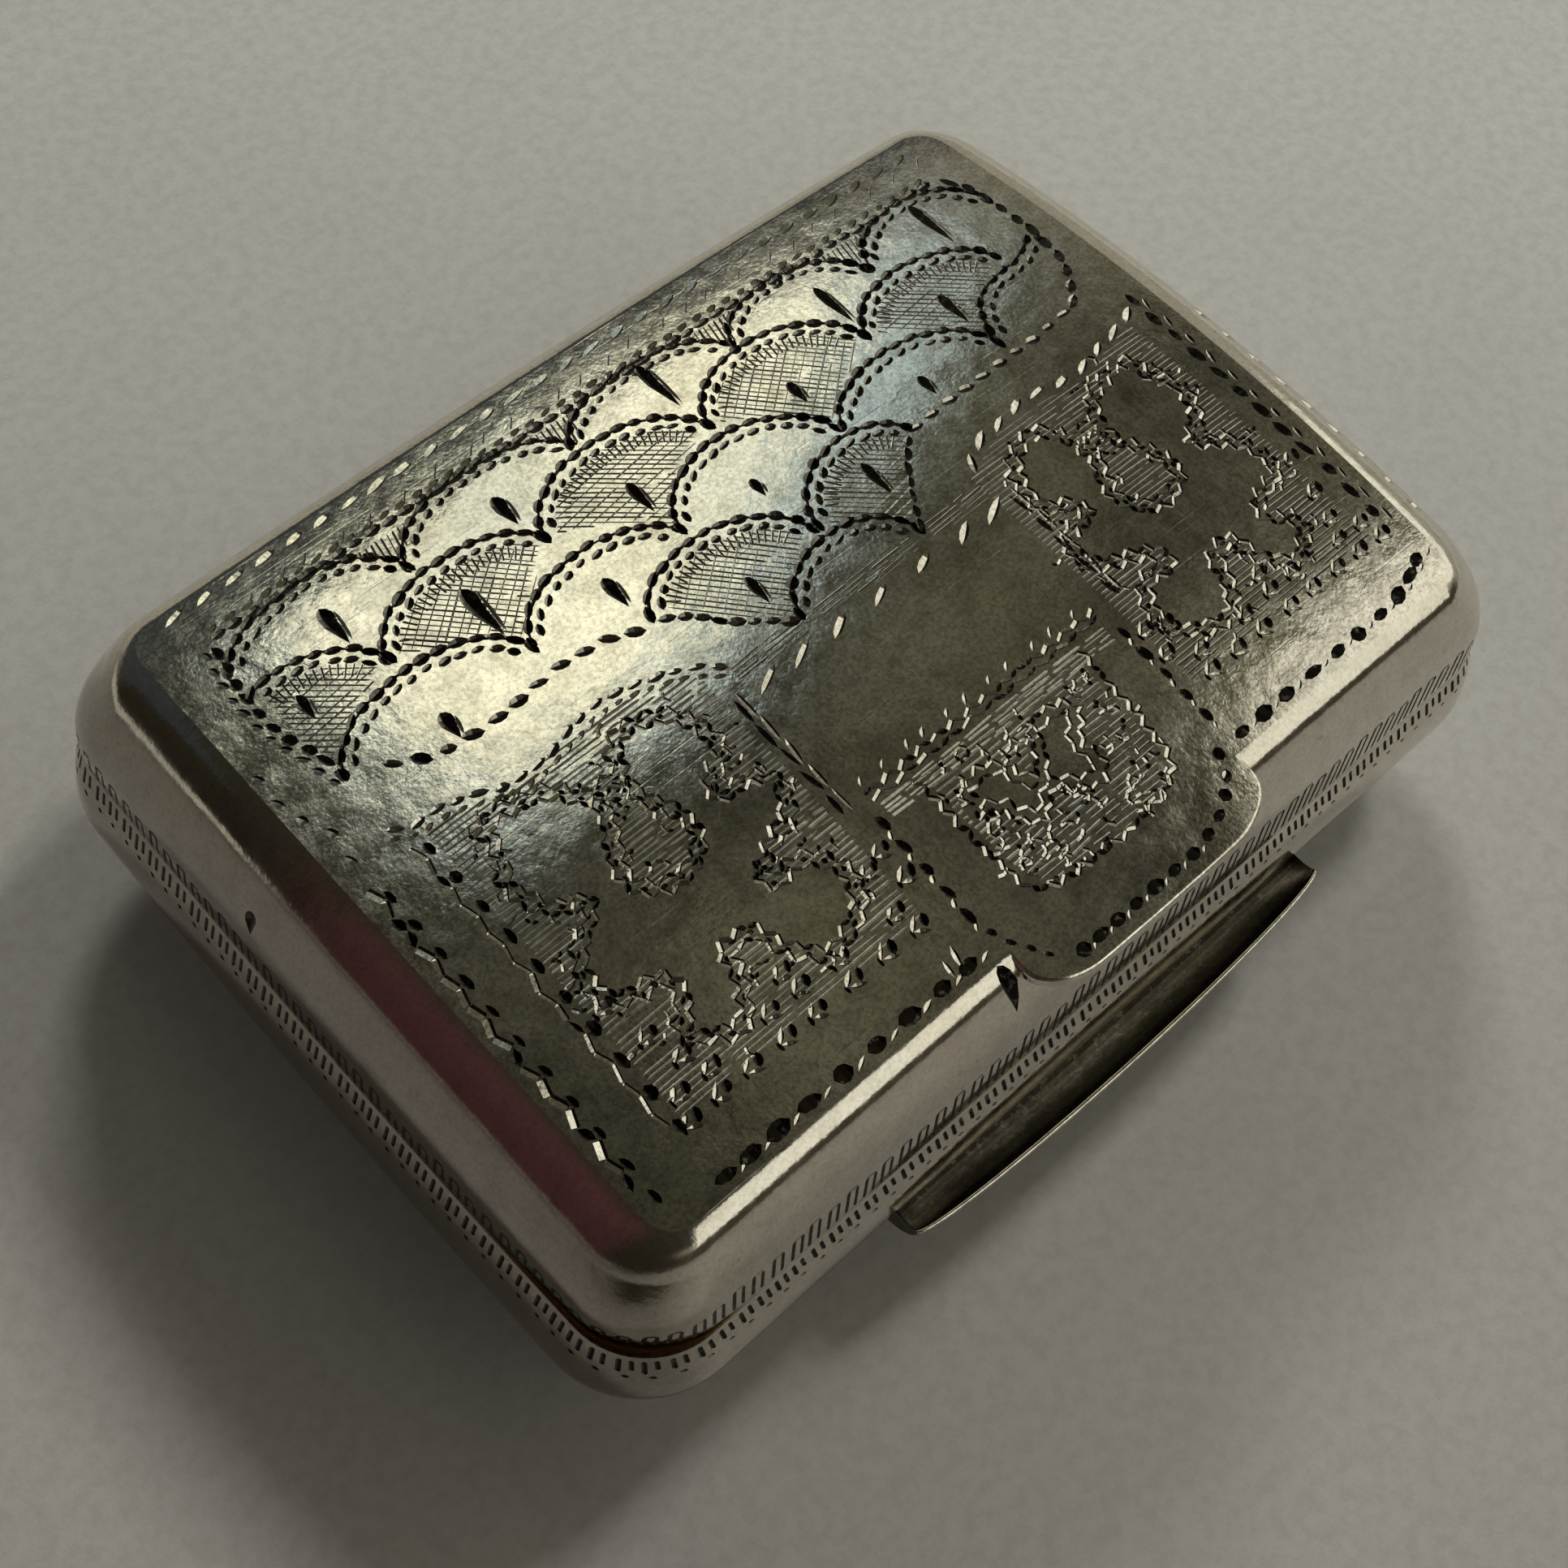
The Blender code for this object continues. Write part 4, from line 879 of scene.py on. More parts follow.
class Skin:
    """One closed piece in millimetres, its faces shaded by their points' own normals, flat, or smooth by group."""

    def __init__(self):
        self.points = []
        self.normals = []
        self.faces = []
        self.groups = []
        self.slots = []
        self.stains = []
        self.cuts = []

    def add_points(self, points, normals=None):
        first = len(self.points)
        points = np.asarray(points, float)
        self.points += points.tolist()
        self.normals += (np.zeros_like(points) if normals is None else np.asarray(normals)).tolist()
        return list(range(first, first + len(points)))

    def add_faces(self, faces, group, slot=0, stains=None, cuts=None):
        count = len(faces)
        self.faces += [tuple(int(i) for i in face) for face in faces]
        self.groups += list(group) if hasattr(group, "__len__") else [group] * count
        self.slots += [slot] * count
        self.stains += [0.0] * count if stains is None else list(stains)
        self.cuts += [0.0] * count if cuts is None else list(cuts)

    def band(self, upper, lower, group, slot=0):
        """Quads between two closed rows of points."""
        count = len(upper)
        faces = [(upper[i], lower[i], lower[(i + 1) % count], upper[(i + 1) % count]) for i in range(count)]
        self.add_faces(faces, group, slot)

    def rings(self, rows, group, slot=0):
        """Rows of points, each joined to the next; gives the rows' point numbers."""
        ids = [self.add_points(row) for row in rows]
        for upper, lower in zip(ids, ids[1:]):
            self.band(upper, lower, group, slot)
        return ids

    def fan(self, row, group, slot=0, turn=False):
        """Close a row of points on its middle."""
        middle = np.mean([self.points[i] for i in row], axis=0)
        hub = self.add_points([middle])[0]
        faces = [(row[i], row[(i + 1) % len(row)], hub) for i in range(len(row))]
        self.add_faces([face[::-1] for face in faces] if turn else faces, group, slot)

    def corner_normals(self):
        points = np.array(self.points)
        normals = np.array(self.normals)
        sums = {}
        flats = []
        for face, group in zip(self.faces, self.groups):
            a, b, c = (points[i] for i in face[:3])
            flat = np.cross(b - a, c - a)
            if len(face) == 4:
                flat = flat + np.cross(c - a, points[face[3]] - a)
            flats.append(flat)
            if group >= 0:
                for i in face:
                    key = (group, i)
                    sums[key] = sums.get(key, 0) + flat
        corners = []
        for face, group, flat in zip(self.faces, self.groups, flats):
            for i in face:
                if group == ANALYTIC:
                    normal = normals[i]
                elif group == FLAT:
                    normal = flat
                else:
                    normal = sums[(group, i)]
                corners.append(normal)
        corners = np.array(corners)
        size = np.linalg.norm(corners, axis=1)
        size[size < 1e-15] = 1
        return corners / size[:, None]

    def build(self, name, materials):
        """The finished object, in metres, with each face's darkening by tarnish and painted shade, and its cut, as
        attributes.
        """
        mesh = bpy.data.meshes.new(name)
        mesh.from_pydata([(x * MM, y * MM, z * MM) for x, y, z in self.points], [], self.faces)
        mesh.update()
        for material in materials:
            mesh.materials.append(material)
        mesh.polygons.foreach_set("material_index", self.slots)
        mesh.polygons.foreach_set("use_smooth", [True] * len(self.faces))
        for label, values in (("stain_and_shade", self.stains), ("cut", self.cuts)):
            attribute = mesh.attributes.new(label, "FLOAT", "FACE")
            attribute.data.foreach_set("value", np.array(values, np.float32))
        mesh.normals_split_custom_set(self.corner_normals().tolist())
        item = bpy.data.objects.new(name, mesh)
        bpy.context.scene.collection.objects.link(item)
        return item


def honeycomb(low, high, pitch):
    """An even grid of points with every other row shifted."""
    points = []
    row = 0
    y = low[1]
    while y < high[1]:
        x = low[0] + (pitch / 2 if row % 2 else 0)
        while x < high[0]:
            points.append((x, y))
            x += pitch
        y += pitch * 0.866
        row += 1
    return np.array(points)


def side_columns():
    """Places round the box: about half a millimetre apart on the sides, closer on the corners."""
    places = []
    for start, run, corner in zip(STARTS, RUNS, (True, False) * 4):
        count = 14 if corner else round(run / 0.55)
        places += [start + run * i / count for i in range(count)]
    hinge = []
    middle = STARTS[1] + LONG_RUN / 2
    for sign in (-1, 1):
        hinge += [middle + sign * HINGE_HALF * LONG_RUN / 26.0 + gap for gap in (-0.03, 0.03)]
    return np.array(sorted(places + hinge))


COLUMNS = side_columns()


def engraved_side(skin, place, rows, strokes):
    """The unrolled side as one engraved sheet, closed on itself. Gives the numbers of its first and last rows."""
    columns = np.append(COLUMNS, ROUND)
    top = [(s, rows[0]) for s in columns]
    right = [(ROUND, w) for w in rows[1:-1]]
    bottom = [(s, rows[-1]) for s in columns[::-1]]
    left = [(0.0, w) for w in rows[-2:0:-1]]
    loop = np.array(top + right + bottom + left)[::-1]
    inner = np.array([(s, w) for s in columns[1:-1] for w in rows[1:-1]])
    points, depth, faces, cuts, stains = engrave(loop, strokes, inner)
    surface = place(points)
    normals = side_normals(place, points)
    surface = surface - normals * depth[:, None]
    seam = {}
    for index in np.where(points[:, 0] < 1e-6)[0]:
        seam[round(points[index, 1], 4)] = index
    moved = np.arange(len(points))
    for index in np.where(points[:, 0] > ROUND - 1e-6)[0]:
        moved[index] = seam[round(points[index, 1], 4)]
    faces = moved[faces][:, ::-1]
    used = np.unique(faces)
    packed = np.full(len(points), -1)
    packed[used] = np.arange(len(used))
    ids = skin.add_points(surface[used], normals[used])
    groups = np.where(cuts, FLAT, ANALYTIC)
    skin.add_faces(packed[faces] + ids[0], groups.tolist(), 0, stains.tolist(), cuts.astype(float).tolist())
    ends = []
    for level in (rows[0], rows[-1]):
        row = [i for i in used if abs(points[i, 1] - level) < 1e-6]
        row.sort(key=lambda i: points[i, 0])
        ends.append([int(packed[i]) + ids[0] for i in row])
    return ends


# Materials

def from_hex(text):
    """A colour written as sRGB hex, as the linear numbers a shader takes."""
    values = [int(text[i:i + 2], 16) / 255 for i in (1, 3, 5)]
    return tuple(v / 12.92 if v <= 0.04045 else ((v + 0.055) / 1.055) ** 2.4 for v in values)


def add(tree, kind, values=(), **settings):
    """Add one node, set its settings, and set or link its inputs."""
    node = tree.nodes.new(kind)
    for key, value in settings.items():
        setattr(node, key, value)
    for key, value in dict(values).items():
        socket = node.inputs[key]
        if isinstance(value, bpy.types.NodeSocket):
            tree.links.new(value, socket)
        elif hasattr(value, "__len__") and len(value) == 3 and socket.type == "RGBA":
            socket.default_value = (*value, 1.0)
        else:
            socket.default_value = value
    return node


def ramp(tree, value, low, high, start=0.0, end=1.0):
    """Spread a value from one range to another, smoothly."""
    values = {0: value, 1: low, 2: high, 3: start, 4: end}
    return add(tree, "ShaderNodeMapRange", values, interpolation_type="SMOOTHSTEP").outputs[0]


def blend_colour(tree, share, first, second):
    return add(tree, "ShaderNodeMix", {0: share, 6: first, 7: second}, data_type="RGBA").outputs[2]


def maths(tree, operation, first, second):
    return add(tree, "ShaderNodeMath", {0: first, 1: second}, operation=operation).outputs[0]


def times(tree, first, second):
    return maths(tree, "MULTIPLY", first, second)


def plus(tree, first, second):
    return maths(tree, "ADD", first, second)


def grain(tree, where, scale, detail=3.0, rough=0.5, stretch=None, turn=0.0):
    """Noise in the object's own space, stretched along a direction for scratches."""
    if stretch:
        where = add(tree, "ShaderNodeMapping", {0: where, 2: (0, 0, turn), 3: stretch}).outputs[0]
    values = {"Vector": where, "Scale": scale, "Detail": detail, "Roughness": rough}
    return add(tree, "ShaderNodeTexNoise", values).outputs[0]


def start_material(name):
    material = bpy.data.materials.new(name)
    material.use_nodes = True
    tree = material.node_tree
    shader = tree.nodes["Principled BSDF"]
    where = add(tree, "ShaderNodeTexCoord").outputs["Object"]
    return material, tree, shader, where


def link(tree, output, shader, name):
    tree.links.new(output, shader.inputs[name])


def bump(tree, height, distance, strength=1.0, normal=None):
    values = {"Height": height, "Distance": distance, "Strength": strength}
    if normal:
        values["Normal"] = normal
    return add(tree, "ShaderNodeBump", values).outputs[0]


def old_silver(name="sterling silver, hand polished and worn", film=1.0, grey=0.0, brown=0.0):
    """Rubbed silver: a warm skin with faint olive film, small waves from the hammer and stone, and fine scratches.
    The share grey dims the skin towards a grey-brown and the share brown darkens the left side: both are painted
    shade, for the dark reflections on the walls."""
    colours = bpy.context.scene.vinaigrette_colours
    material, tree, shader, where = start_material(name)
    broad = grain(tree, where, 240.0, 4.0)
    # Painted shade: the share grey dims the whole skin, for darker walls
    skin = tuple(mix(clean, dull, grey) for clean, dull in zip(colours.silver, from_hex("#8f8877")))
    clean = blend_colour(tree, ramp(tree, broad, 0.4, 0.68, 0.0, 0.35 * film), skin, colours.film)
    mottle = ramp(tree, grain(tree, where, 1300.0, 5.0, 0.65), 0.40, 0.70, 0.0, 0.4 * film)
    clean = blend_colour(tree, mottle, clean, from_hex("#8f8877"))
    specks = ramp(tree, grain(tree, where, 3800.0, 4.0, 0.62), 0.60, 0.76, 0.0, 0.30)
    clean = blend_colour(tree, specks, clean, colours.tarnish)
    dust = ramp(tree, grain(tree, where, 9000.0, 3.0, 0.7), 0.40, 0.66, 0.0, 0.42 * film)
    clean = blend_colour(tree, dust, clean, from_hex("#757059"))
    # Painted shade: the left side darkened towards brown, for the dark reflections there
    if brown:
        across = add(tree, "ShaderNodeSeparateXYZ", {0: where}).outputs["X"]
        clean = blend_colour(tree, ramp(tree, across, -0.0128, -0.0144, 0.0, brown), clean, from_hex("#4b3f38"))
    # Per-face darkening: tarnish in the engraved cuts, and painted shade on cut facets facing away from the light
    # and in the lip's hollow
    stain_and_shade = add(tree, "ShaderNodeAttribute", attribute_name="stain_and_shade").outputs["Fac"]
    cut = add(tree, "ShaderNodeAttribute", attribute_name="cut").outputs["Fac"]
    patchy = ramp(tree, grain(tree, where, 5000.0, 3.0), 0.30, 0.45, 0.86, 1.0)
    colour = blend_colour(tree, times(tree, stain_and_shade, patchy), clean, colours.tarnish)
    link(tree, colour, shader, "Base Color")
    shader.inputs["Metallic"].default_value = 1.0
    dull = ramp(tree, grain(tree, where, 1500.0, 5.0, 0.6), 0.3, 0.7, 0.09, 0.16)
    rough = add(tree, "ShaderNodeMix", {0: cut, 2: dull, 3: 0.13}).outputs[0]
    rough = plus(tree, rough, times(tree, stain_and_shade, 0.2))
    link(tree, rough, shader, "Roughness")
    waves = grain(tree, where, 1000.0, 1.0, 0.5)
    pits = grain(tree, where, 9500.0, 2.0, 0.6)
    dents = grain(tree, where, 3000.0, 2.0, 0.5)
    height = plus(tree, times(tree, waves, 4.0), times(tree, pits, 0.8))
    height = plus(tree, height, times(tree, dents, 1.6))
    normal = bump(tree, height, 0.0000028, 1.0)
    for turn, size in ((0.35, 9000.0), (-0.6, 7000.0)):
        lines = grain(tree, where, size, 1.0, 0.5, (0.02, 1.0, 0.5), turn)
        scratch = ramp(tree, lines, 0.68, 0.74)
        normal = bump(tree, scratch, -0.000001, 0.6, normal)
    link(tree, normal, shader, "Normal")
    return material


def fire_gilding(name="fire gilding, darkened in the corners", brown=0.0):
    """Gilt by hand over silver: amber where it is thick, brown residue in broad soft clouds, a fine mat bloom. The
    share brown darkens it evenly as painted shade, for gilding in the shade of the seam.
    """
    colours = bpy.context.scene.vinaigrette_colours
    material, tree, shader, where = start_material(name)
    clouds = ramp(tree, grain(tree, where, 420.0, 5.0, 0.6), 0.42, 0.72, 0.0, 0.75)
    colour = blend_colour(tree, clouds, colours.gilt, colours.amber)
    spots = ramp(tree, grain(tree, where, 3200.0, 4.0, 0.6), 0.62, 0.75, 0.0, 0.6)
    colour = blend_colour(tree, spots, colour, from_hex("#3a2a17"))
    # Painted shade: an even brown over all, for gilt lying in the shade of the seam
    if brown:
        colour = blend_colour(tree, brown, colour, from_hex("#5a2a14"))
    link(tree, colour, shader, "Base Color")
    shader.inputs["Metallic"].default_value = 1.0
    link(tree, ramp(tree, grain(tree, where, 2000.0, 4.0), 0.3, 0.7, 0.20, 0.36), shader, "Roughness")
    bloom = grain(tree, where, 1400.0, 3.0)
    height = plus(tree, bloom, times(tree, grain(tree, where, 8000.0), 0.4))
    link(tree, bump(tree, height, 0.000006), shader, "Normal")
    return material


def drawn_wire():
    """Hinge pin: fine lines along the wire from the draw plate."""
    material, tree, shader, where = start_material("drawn silver wire")
    lines = grain(tree, where, 9000.0, 2.0, 0.5, (0.02, 1.0, 1.0))
    colour = blend_colour(tree, lines, from_hex("#c9c5ba"), from_hex("#8f8a7c"))
    link(tree, colour, shader, "Base Color")
    shader.inputs["Metallic"].default_value = 1.0
    link(tree, ramp(tree, lines, 0.3, 0.7, 0.25, 0.42), shader, "Roughness")
    link(tree, bump(tree, lines, 0.000003), shader, "Normal")
    return material


def dry_sponge():
    """Brown, matt and pored: darker deep in the pores as painted shade, with a faint fuzz."""
    colours = bpy.context.scene.vinaigrette_colours
    material, tree, shader, where = start_material("natural sponge, dry")
    tone = grain(tree, where, 900.0, 6.0, 0.65)
    colour = blend_colour(tree, ramp(tree, tone, 0.35, 0.7), colours.sponge, from_hex("#7b5527"))
    holes = add(tree, "ShaderNodeTexVoronoi", {"Vector": where, "Scale": 2600.0}).outputs["Distance"]
    # Painted shade: dark brown at the middle of each pore
    colour = blend_colour(tree, ramp(tree, holes, 0.28, 0.05, 0.0, 0.85), colour, from_hex("#2f1e0d"))
    link(tree, colour, shader, "Base Color")
    shader.inputs["Roughness"].default_value = 0.95
    shader.inputs["Sheen Weight"].default_value = 0.25
    shader.inputs["Sheen Roughness"].default_value = 0.6
    fibres = grain(tree, where, 6000.0, 4.0, 0.7)
    height = plus(tree, ramp(tree, holes, 0.0, 0.4), times(tree, fibres, 0.5))
    link(tree, bump(tree, height, 0.00008), shader, "Normal")
    return material


def floor_paper():
    """The table: soft paper, a little darker towards the front as a painted shadow, with a fine tooth."""
    colours = bpy.context.scene.vinaigrette_colours
    material, tree, shader, where = start_material("grey paper, fine tooth")
    east, north, _ = add(tree, "ShaderNodeSeparateXYZ", {0: where}).outputs
    # Painted shadow: the paper darkens towards the left front
    depth = plus(tree, times(tree, east, 0.65), times(tree, north, 0.75))
    colour = blend_colour(tree, ramp(tree, depth, -0.028, 0.03), colours.floor_near, colours.floor_far)
    mottle = grain(tree, where, 60.0, 6.0, 0.6)
    colour = blend_colour(tree, ramp(tree, mottle, 0.3, 0.8, 0.0, 0.10), colour, from_hex("#6a655d"))
    tooth = ramp(tree, grain(tree, where, 2200.0, 4.0, 0.7), 0.35, 0.7, 0.0, 0.22)
    colour = blend_colour(tree, tooth, colour, from_hex("#6e6961"))
    link(tree, colour, shader, "Base Color")
    shader.inputs["Roughness"].default_value = 0.85
    shader.inputs["Specular IOR Level"].default_value = 0.2
    link(tree, bump(tree, grain(tree, where, 9000.0, 4.0, 0.7), 0.00002, 0.5), shader, "Normal")
    return material


# Work with Blender's tools

def select_none():
    for item in bpy.context.view_layer.objects:
        item.select_set(False)


def select_only(item):
    select_none()
    item.select_set(True)
    bpy.context.view_layer.objects.active = item


def settle(item, name):
    """Put the object's place, turn and size into its mesh."""
    select_only(item)
    bpy.ops.object.transform_apply(location=True, rotation=True, scale=True)
    item.name = name
    item.data.name = name
    return item


def pick_faces(item, test):
    """Select the faces whose middle and normal pass the test, in edit mode."""
    bpy.ops.object.mode_set(mode="OBJECT")
    bpy.context.tool_settings.mesh_select_mode = (False, False, True)
    for face in item.data.polygons:
        face.select = bool(test(face.center, face.normal))
    for edge in item.data.edges:
        edge.select = False
    bpy.ops.object.mode_set(mode="EDIT")


def dress(item, material, body, *nodes):
    """Give a finished piece its material, its body and the solids that it stands for."""
    if material:
        item.data.materials.clear()
        item.data.materials.append(material)
    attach(item, body)
    if nodes:
        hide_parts(*nodes)
    return item


def box_in_mm(node):
    low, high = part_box(node)
    return low / MM, high / MM


def hinge_tube(name, node, bore, wear, material, body):
    """One hinge tube, turned fine, with its bore open and its rims softened by wear."""
    low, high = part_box(node)
    size = high - low
    select_none()
    bpy.ops.mesh.primitive_cylinder_add(vertices=48, radius=size.y / 2, depth=size.x, end_fill_type="NGON",
                                        location=(low + high) / 2, rotation=(0, math.pi / 2, 0))
    item = settle(bpy.context.active_object, name)
    pick_faces(item, lambda middle, normal: abs(normal.x) > 0.9)
    bpy.ops.mesh.inset(thickness=size.y / 2 - bore)
    bpy.ops.mesh.bridge_edge_loops()
    bpy.ops.mesh.select_all(action="SELECT")
    bpy.ops.mesh.normals_make_consistent(inside=False)
    bpy.ops.object.mode_set(mode="OBJECT")
    modifier = item.modifiers.new("worn rims", "BEVEL")
    modifier.width = wear
    modifier.segments = 2
    modifier.limit_method = "ANGLE"
    modifier.angle_limit = math.radians(50)
    bpy.ops.object.modifier_apply(modifier=modifier.name)
    bpy.ops.object.shade_smooth_by_angle(angle=math.radians(40))
    return dress(item, material, body, node)


# Operators

class VINAIGRETTE_OT_lid_plate(bpy.types.Operator):
    """Engraved top of the lid with the strap tongue that runs off its front edge"""
    bl_idname = "vinaigrette.lid_plate"
    bl_label = "Engraved top and strap tongue"

    def execute(self, context):
        sizes = context.scene.vinaigrette_sizes
        loop, reach = plate_loop()
        pitch = sizes.plain_pitch / MM
        plain = honeycomb((-14.2, -11.3), (14.2, 9.9), pitch)
        points, depth, faces, cuts, stains = engrave(loop, cut_top(), plain)
        depth = depth * sizes.cut_depth
        skin = Skin()
        normals = top_normal(points)
        surface = top_place(points) - normals * depth[:, None]
        ids = skin.add_points(surface, normals)
        groups = np.where(cuts, FLAT, ANALYTIC)
        skin.add_faces(faces, groups.tolist(), 0, stains.tolist(), cuts.astype(float).tolist())
        ring = ids[:len(loop)]
        rim_rows(skin, loop, reach, ring)
        item = skin.build("engraved_top", [old_silver()])
        dress(item, None, "lid", "strap_tongue")
        return {"FINISHED"}


def plate_loop():
    """Edge of the top sheet, anticlockwise, with the reach of its rounded edge at each point."""
    ring = []
    for s in COLUMNS:
        x, y, _ = lid_side(np.array([[s, -FILLET_RUN]]))[0]
        ring.append((x, y))
    rim = RIM_ROUND
    left = TONGUE_X - TONGUE_HALF + rim
    right = TONGUE_X + TONGUE_HALF - rim
    foot = TONGUE_Y + rim
    loop = []
    reach = []
    done = False
    for x, y in ring:
        if y < -9.4 and left - 0.05 < x < right + 0.05:
            if not done:
                done = True
                for point in tongue_edge(left, right, foot):
                    loop.append(point)
                    reach.append(1.0 if point[1] < -9.75 else 0.0)
            continue
        loop.append((x, y))
        reach.append(0.0)
    return np.array(loop), np.array(reach)


def tongue_edge(left, right, foot):
    """Outline of the strap's end: straight sides and rounded corners."""
    wide, deep = TONGUE_CORNER
    edge = [(left, y) for y in (-9.63, -9.8, -9.95)]
    for step in range(15):
        turn = step / 14 * math.pi / 2
        edge.append((left + wide * (1 - math.cos(turn)), foot + deep * (1 - math.sin(turn))))
    for share in (i / 16 for i in range(1, 16)):
        edge.append((mix(left + wide, right - wide, share), foot - TONGUE_BOW * math.sin(math.pi * share)))
    for step in range(15):
        turn = (14 - step) / 14 * math.pi / 2
        edge.append((right - wide * (1 - math.cos(turn)), foot + deep * (1 - math.sin(turn))))
    edge += [(right, y) for y in (-9.95, -9.8, -9.63)]
    return edge


def rim_rows(skin, loop, reach, ring):
    """Eased edge of the tongue, the plain hidden edge elsewhere, and the underside."""
    ahead = np.roll(loop, -1, axis=0) - np.roll(loop, 1, axis=0)
    ahead /= np.linalg.norm(ahead, axis=1)[:, None]
    out = np.column_stack((ahead[:, 1], -ahead[:, 0]))
    up = top_normal(loop)
    start = top_place(loop)
    thick = np.where(reach > 0, TONGUE_THICKNESS, PLATE_THICKNESS)
    rows = []
    row_normals = []
    for turn in (0.2, 0.4, 0.6, 0.8, 1.0, 1.001, 1.2, 1.4, 1.6, 1.8, 2.0):
        straight = (thick - 2 * RIM_ROUND) * (turn > 1)
        turn *= math.pi / 2
        side = RIM_ROUND * math.sin(turn) * reach
        drop = straight + RIM_ROUND * (1 - math.cos(turn))
        shift = np.column_stack((out * side[:, None], -drop))
        rows.append(start + shift)
        normal = np.column_stack((out * math.sin(turn), np.full(len(loop), math.cos(turn))))
        row_normals.append(normal + up * (1 + math.cos(turn)) * 0.1)
    above = ring
    for row, normal in zip(rows, row_normals):
        below = skin.add_points(row, normal / np.linalg.norm(normal, axis=1)[:, None])
        skin.band(above, below, ANALYTIC)
        above = below
    inner = honeycomb((-13.5, -11), (13.5, 9.5), 1.6)
    flat, _, faces, _, _ = engrave(loop, [], inner)
    extra = flat[len(loop):]
    thick = np.where(extra[:, 1] < -9.7, TONGUE_THICKNESS, PLATE_THICKNESS)
    under = crown(extra[:, 0], extra[:, 1], thick)
    ids = above + skin.add_points(under)
    skin.add_faces([tuple(ids[i] for i in face[::-1]) for face in faces], 1)


def seam_places(graver):
    """Places of the strokes beside the seam, a little uneven; there are none at the back, where the hinge is."""
    pitch = bpy.context.scene.vinaigrette_sizes.seam_pitch / MM
    s = 0.2
    while s < ROUND - 0.5:
        if not STARTS[1] + 0.6 < s < STARTS[2] - 0.6:
            yield s
        s += pitch * (1 + graver.shake(0.08))


def cut_lid_side():
    """Slanted strokes joined in pairs above the seam, a stitch down the right fillet, a ding and a notch."""
    graver = Graver(23)
    for s in seam_places(graver):
        low = WALL_RUN - 0.10 + graver.shake(0.02)
        high = low - 1.02 - graver.shake(0.08)
        graver.one(s, low, s + 0.13, high, 0.11, "line", 1.1, **SEAM_LOOK)
        graver.one(s + 0.26, low, s + 0.38, high + 0.06 + graver.shake(0.05), 0.10, "line", 1.1, **SEAM_LOOK)
        graver.one(s + 0.14, high + 0.03, s + 0.37, high + 0.05, 0.08, "line", 1.1, **SEAM_LOOK)
    for index in range(9):
        s = STARTS[7] + 0.6 + index * 0.95
        graver.one(s, -0.42, s + 0.5, -0.48, 0.17, deep=1.2, dark=0.9)
    ding = STARTS[3] + SHORT_RUN * 0.36
    graver.one(ding - 0.1, 0.55, ding + 0.12, 1.10, 0.36, "drop", 0.9, 0.95, 0.8)
    notch = STARTS[5] + LONG_RUN * 0.357
    graver.one(notch, -0.82, notch + 0.15, 0.5, 0.42, "drop", 1.0, 1.0, 1.0)
    return graver.cuts


class VINAIGRETTE_OT_lid_body(bpy.types.Operator):
    """Walls and fillet of the lid, its rim and its gilt inside"""
    bl_idname = "vinaigrette.lid_body"
    bl_label = "Lid walls and lining"

    def execute(self, context):
        skin = Skin()
        rows = [-FILLET_RUN * share for share in (1, 0.86, 0.72, 0.58, 0.44, 0.3, 0.15, 0.04)]
        rows += [0.06, 0.3, 0.7, 1.1, 1.5, 1.8, 2.02, 2.2, 2.4, 2.62, WALL_RUN]
        top, rim = engraved_side(skin, lid_side, rows, cut_lid_side())
        line_rim(skin, rim)
        hidden_top(skin, top)
        # Less film on the sides, plus painted shade: dimmed towards grey and browner at the left
        sides = old_silver("sterling silver, rubbed smooth, painted shade at the sides", 0.5, 0.22, 0.55)
        item = skin.build("lid_body", [sides, fire_gilding()])
        dress(item, None, "lid", "lid_shell")
        return {"FINISHED"}


def crown_rings(edge, shares, depth):
    """Rings below the crown that close in on its middle."""
    return [crown(edge[:, 0] * share, edge[:, 1] * share, depth) for share in shares]


def line_rim(skin, rim):
    """The flat rim, then the gilt inside up to the crown."""
    edge = np.array([skin.points[i] for i in rim])
    inward = edge * np.array([-1, -1, 0])
    inward /= np.linalg.norm(inward, axis=1)[:, None]
    softened = edge + inward * RIM_EASE[0]
    softened[:, 2] -= RIM_EASE[1]
    inner = lid_form(COLUMNS, 0.0, WALL, tighter=WALL)
    inner[:, 2] = softened[:, 2]
    ids = skin.rings([softened, inner], 2)
    skin.band(rim, ids[0], 3)
    levels = [(share, 0.0) for share in (0.15, 0.4, 0.7, 1.0)]
    levels += [(1.0, turn) for turn in (0.2, 0.4, 0.6, 0.8, 1.0)]
    rows = [lid_form(COLUMNS, share, WALL, turn, WALL, WALL) for share, turn in levels]
    rows += crown_rings(rows[-1], (0.9, 0.75, 0.55, 0.35, 0.15), WALL)
    lining = skin.rings(rows, 4, 1)
    skin.band(ids[1], lining[0], 4, 1)
    skin.fan(lining[-1], 4, 1)


def hidden_top(skin, top):
    """The plain seat under the engraved sheet."""
    depth = PLATE_THICKNESS + SEAT_GAP
    seat = np.array([skin.points[i] for i in top]) * np.array([0.985, 0.98, 1.0])
    seat[:, 2] -= depth
    rows = [seat] + crown_rings(seat, (0.7, 0.35, 0.1), depth)
    ids = skin.rings(rows[::-1], 5)
    skin.band(ids[-1], top, 5)
    skin.fan(ids[0], 5, 0, True)


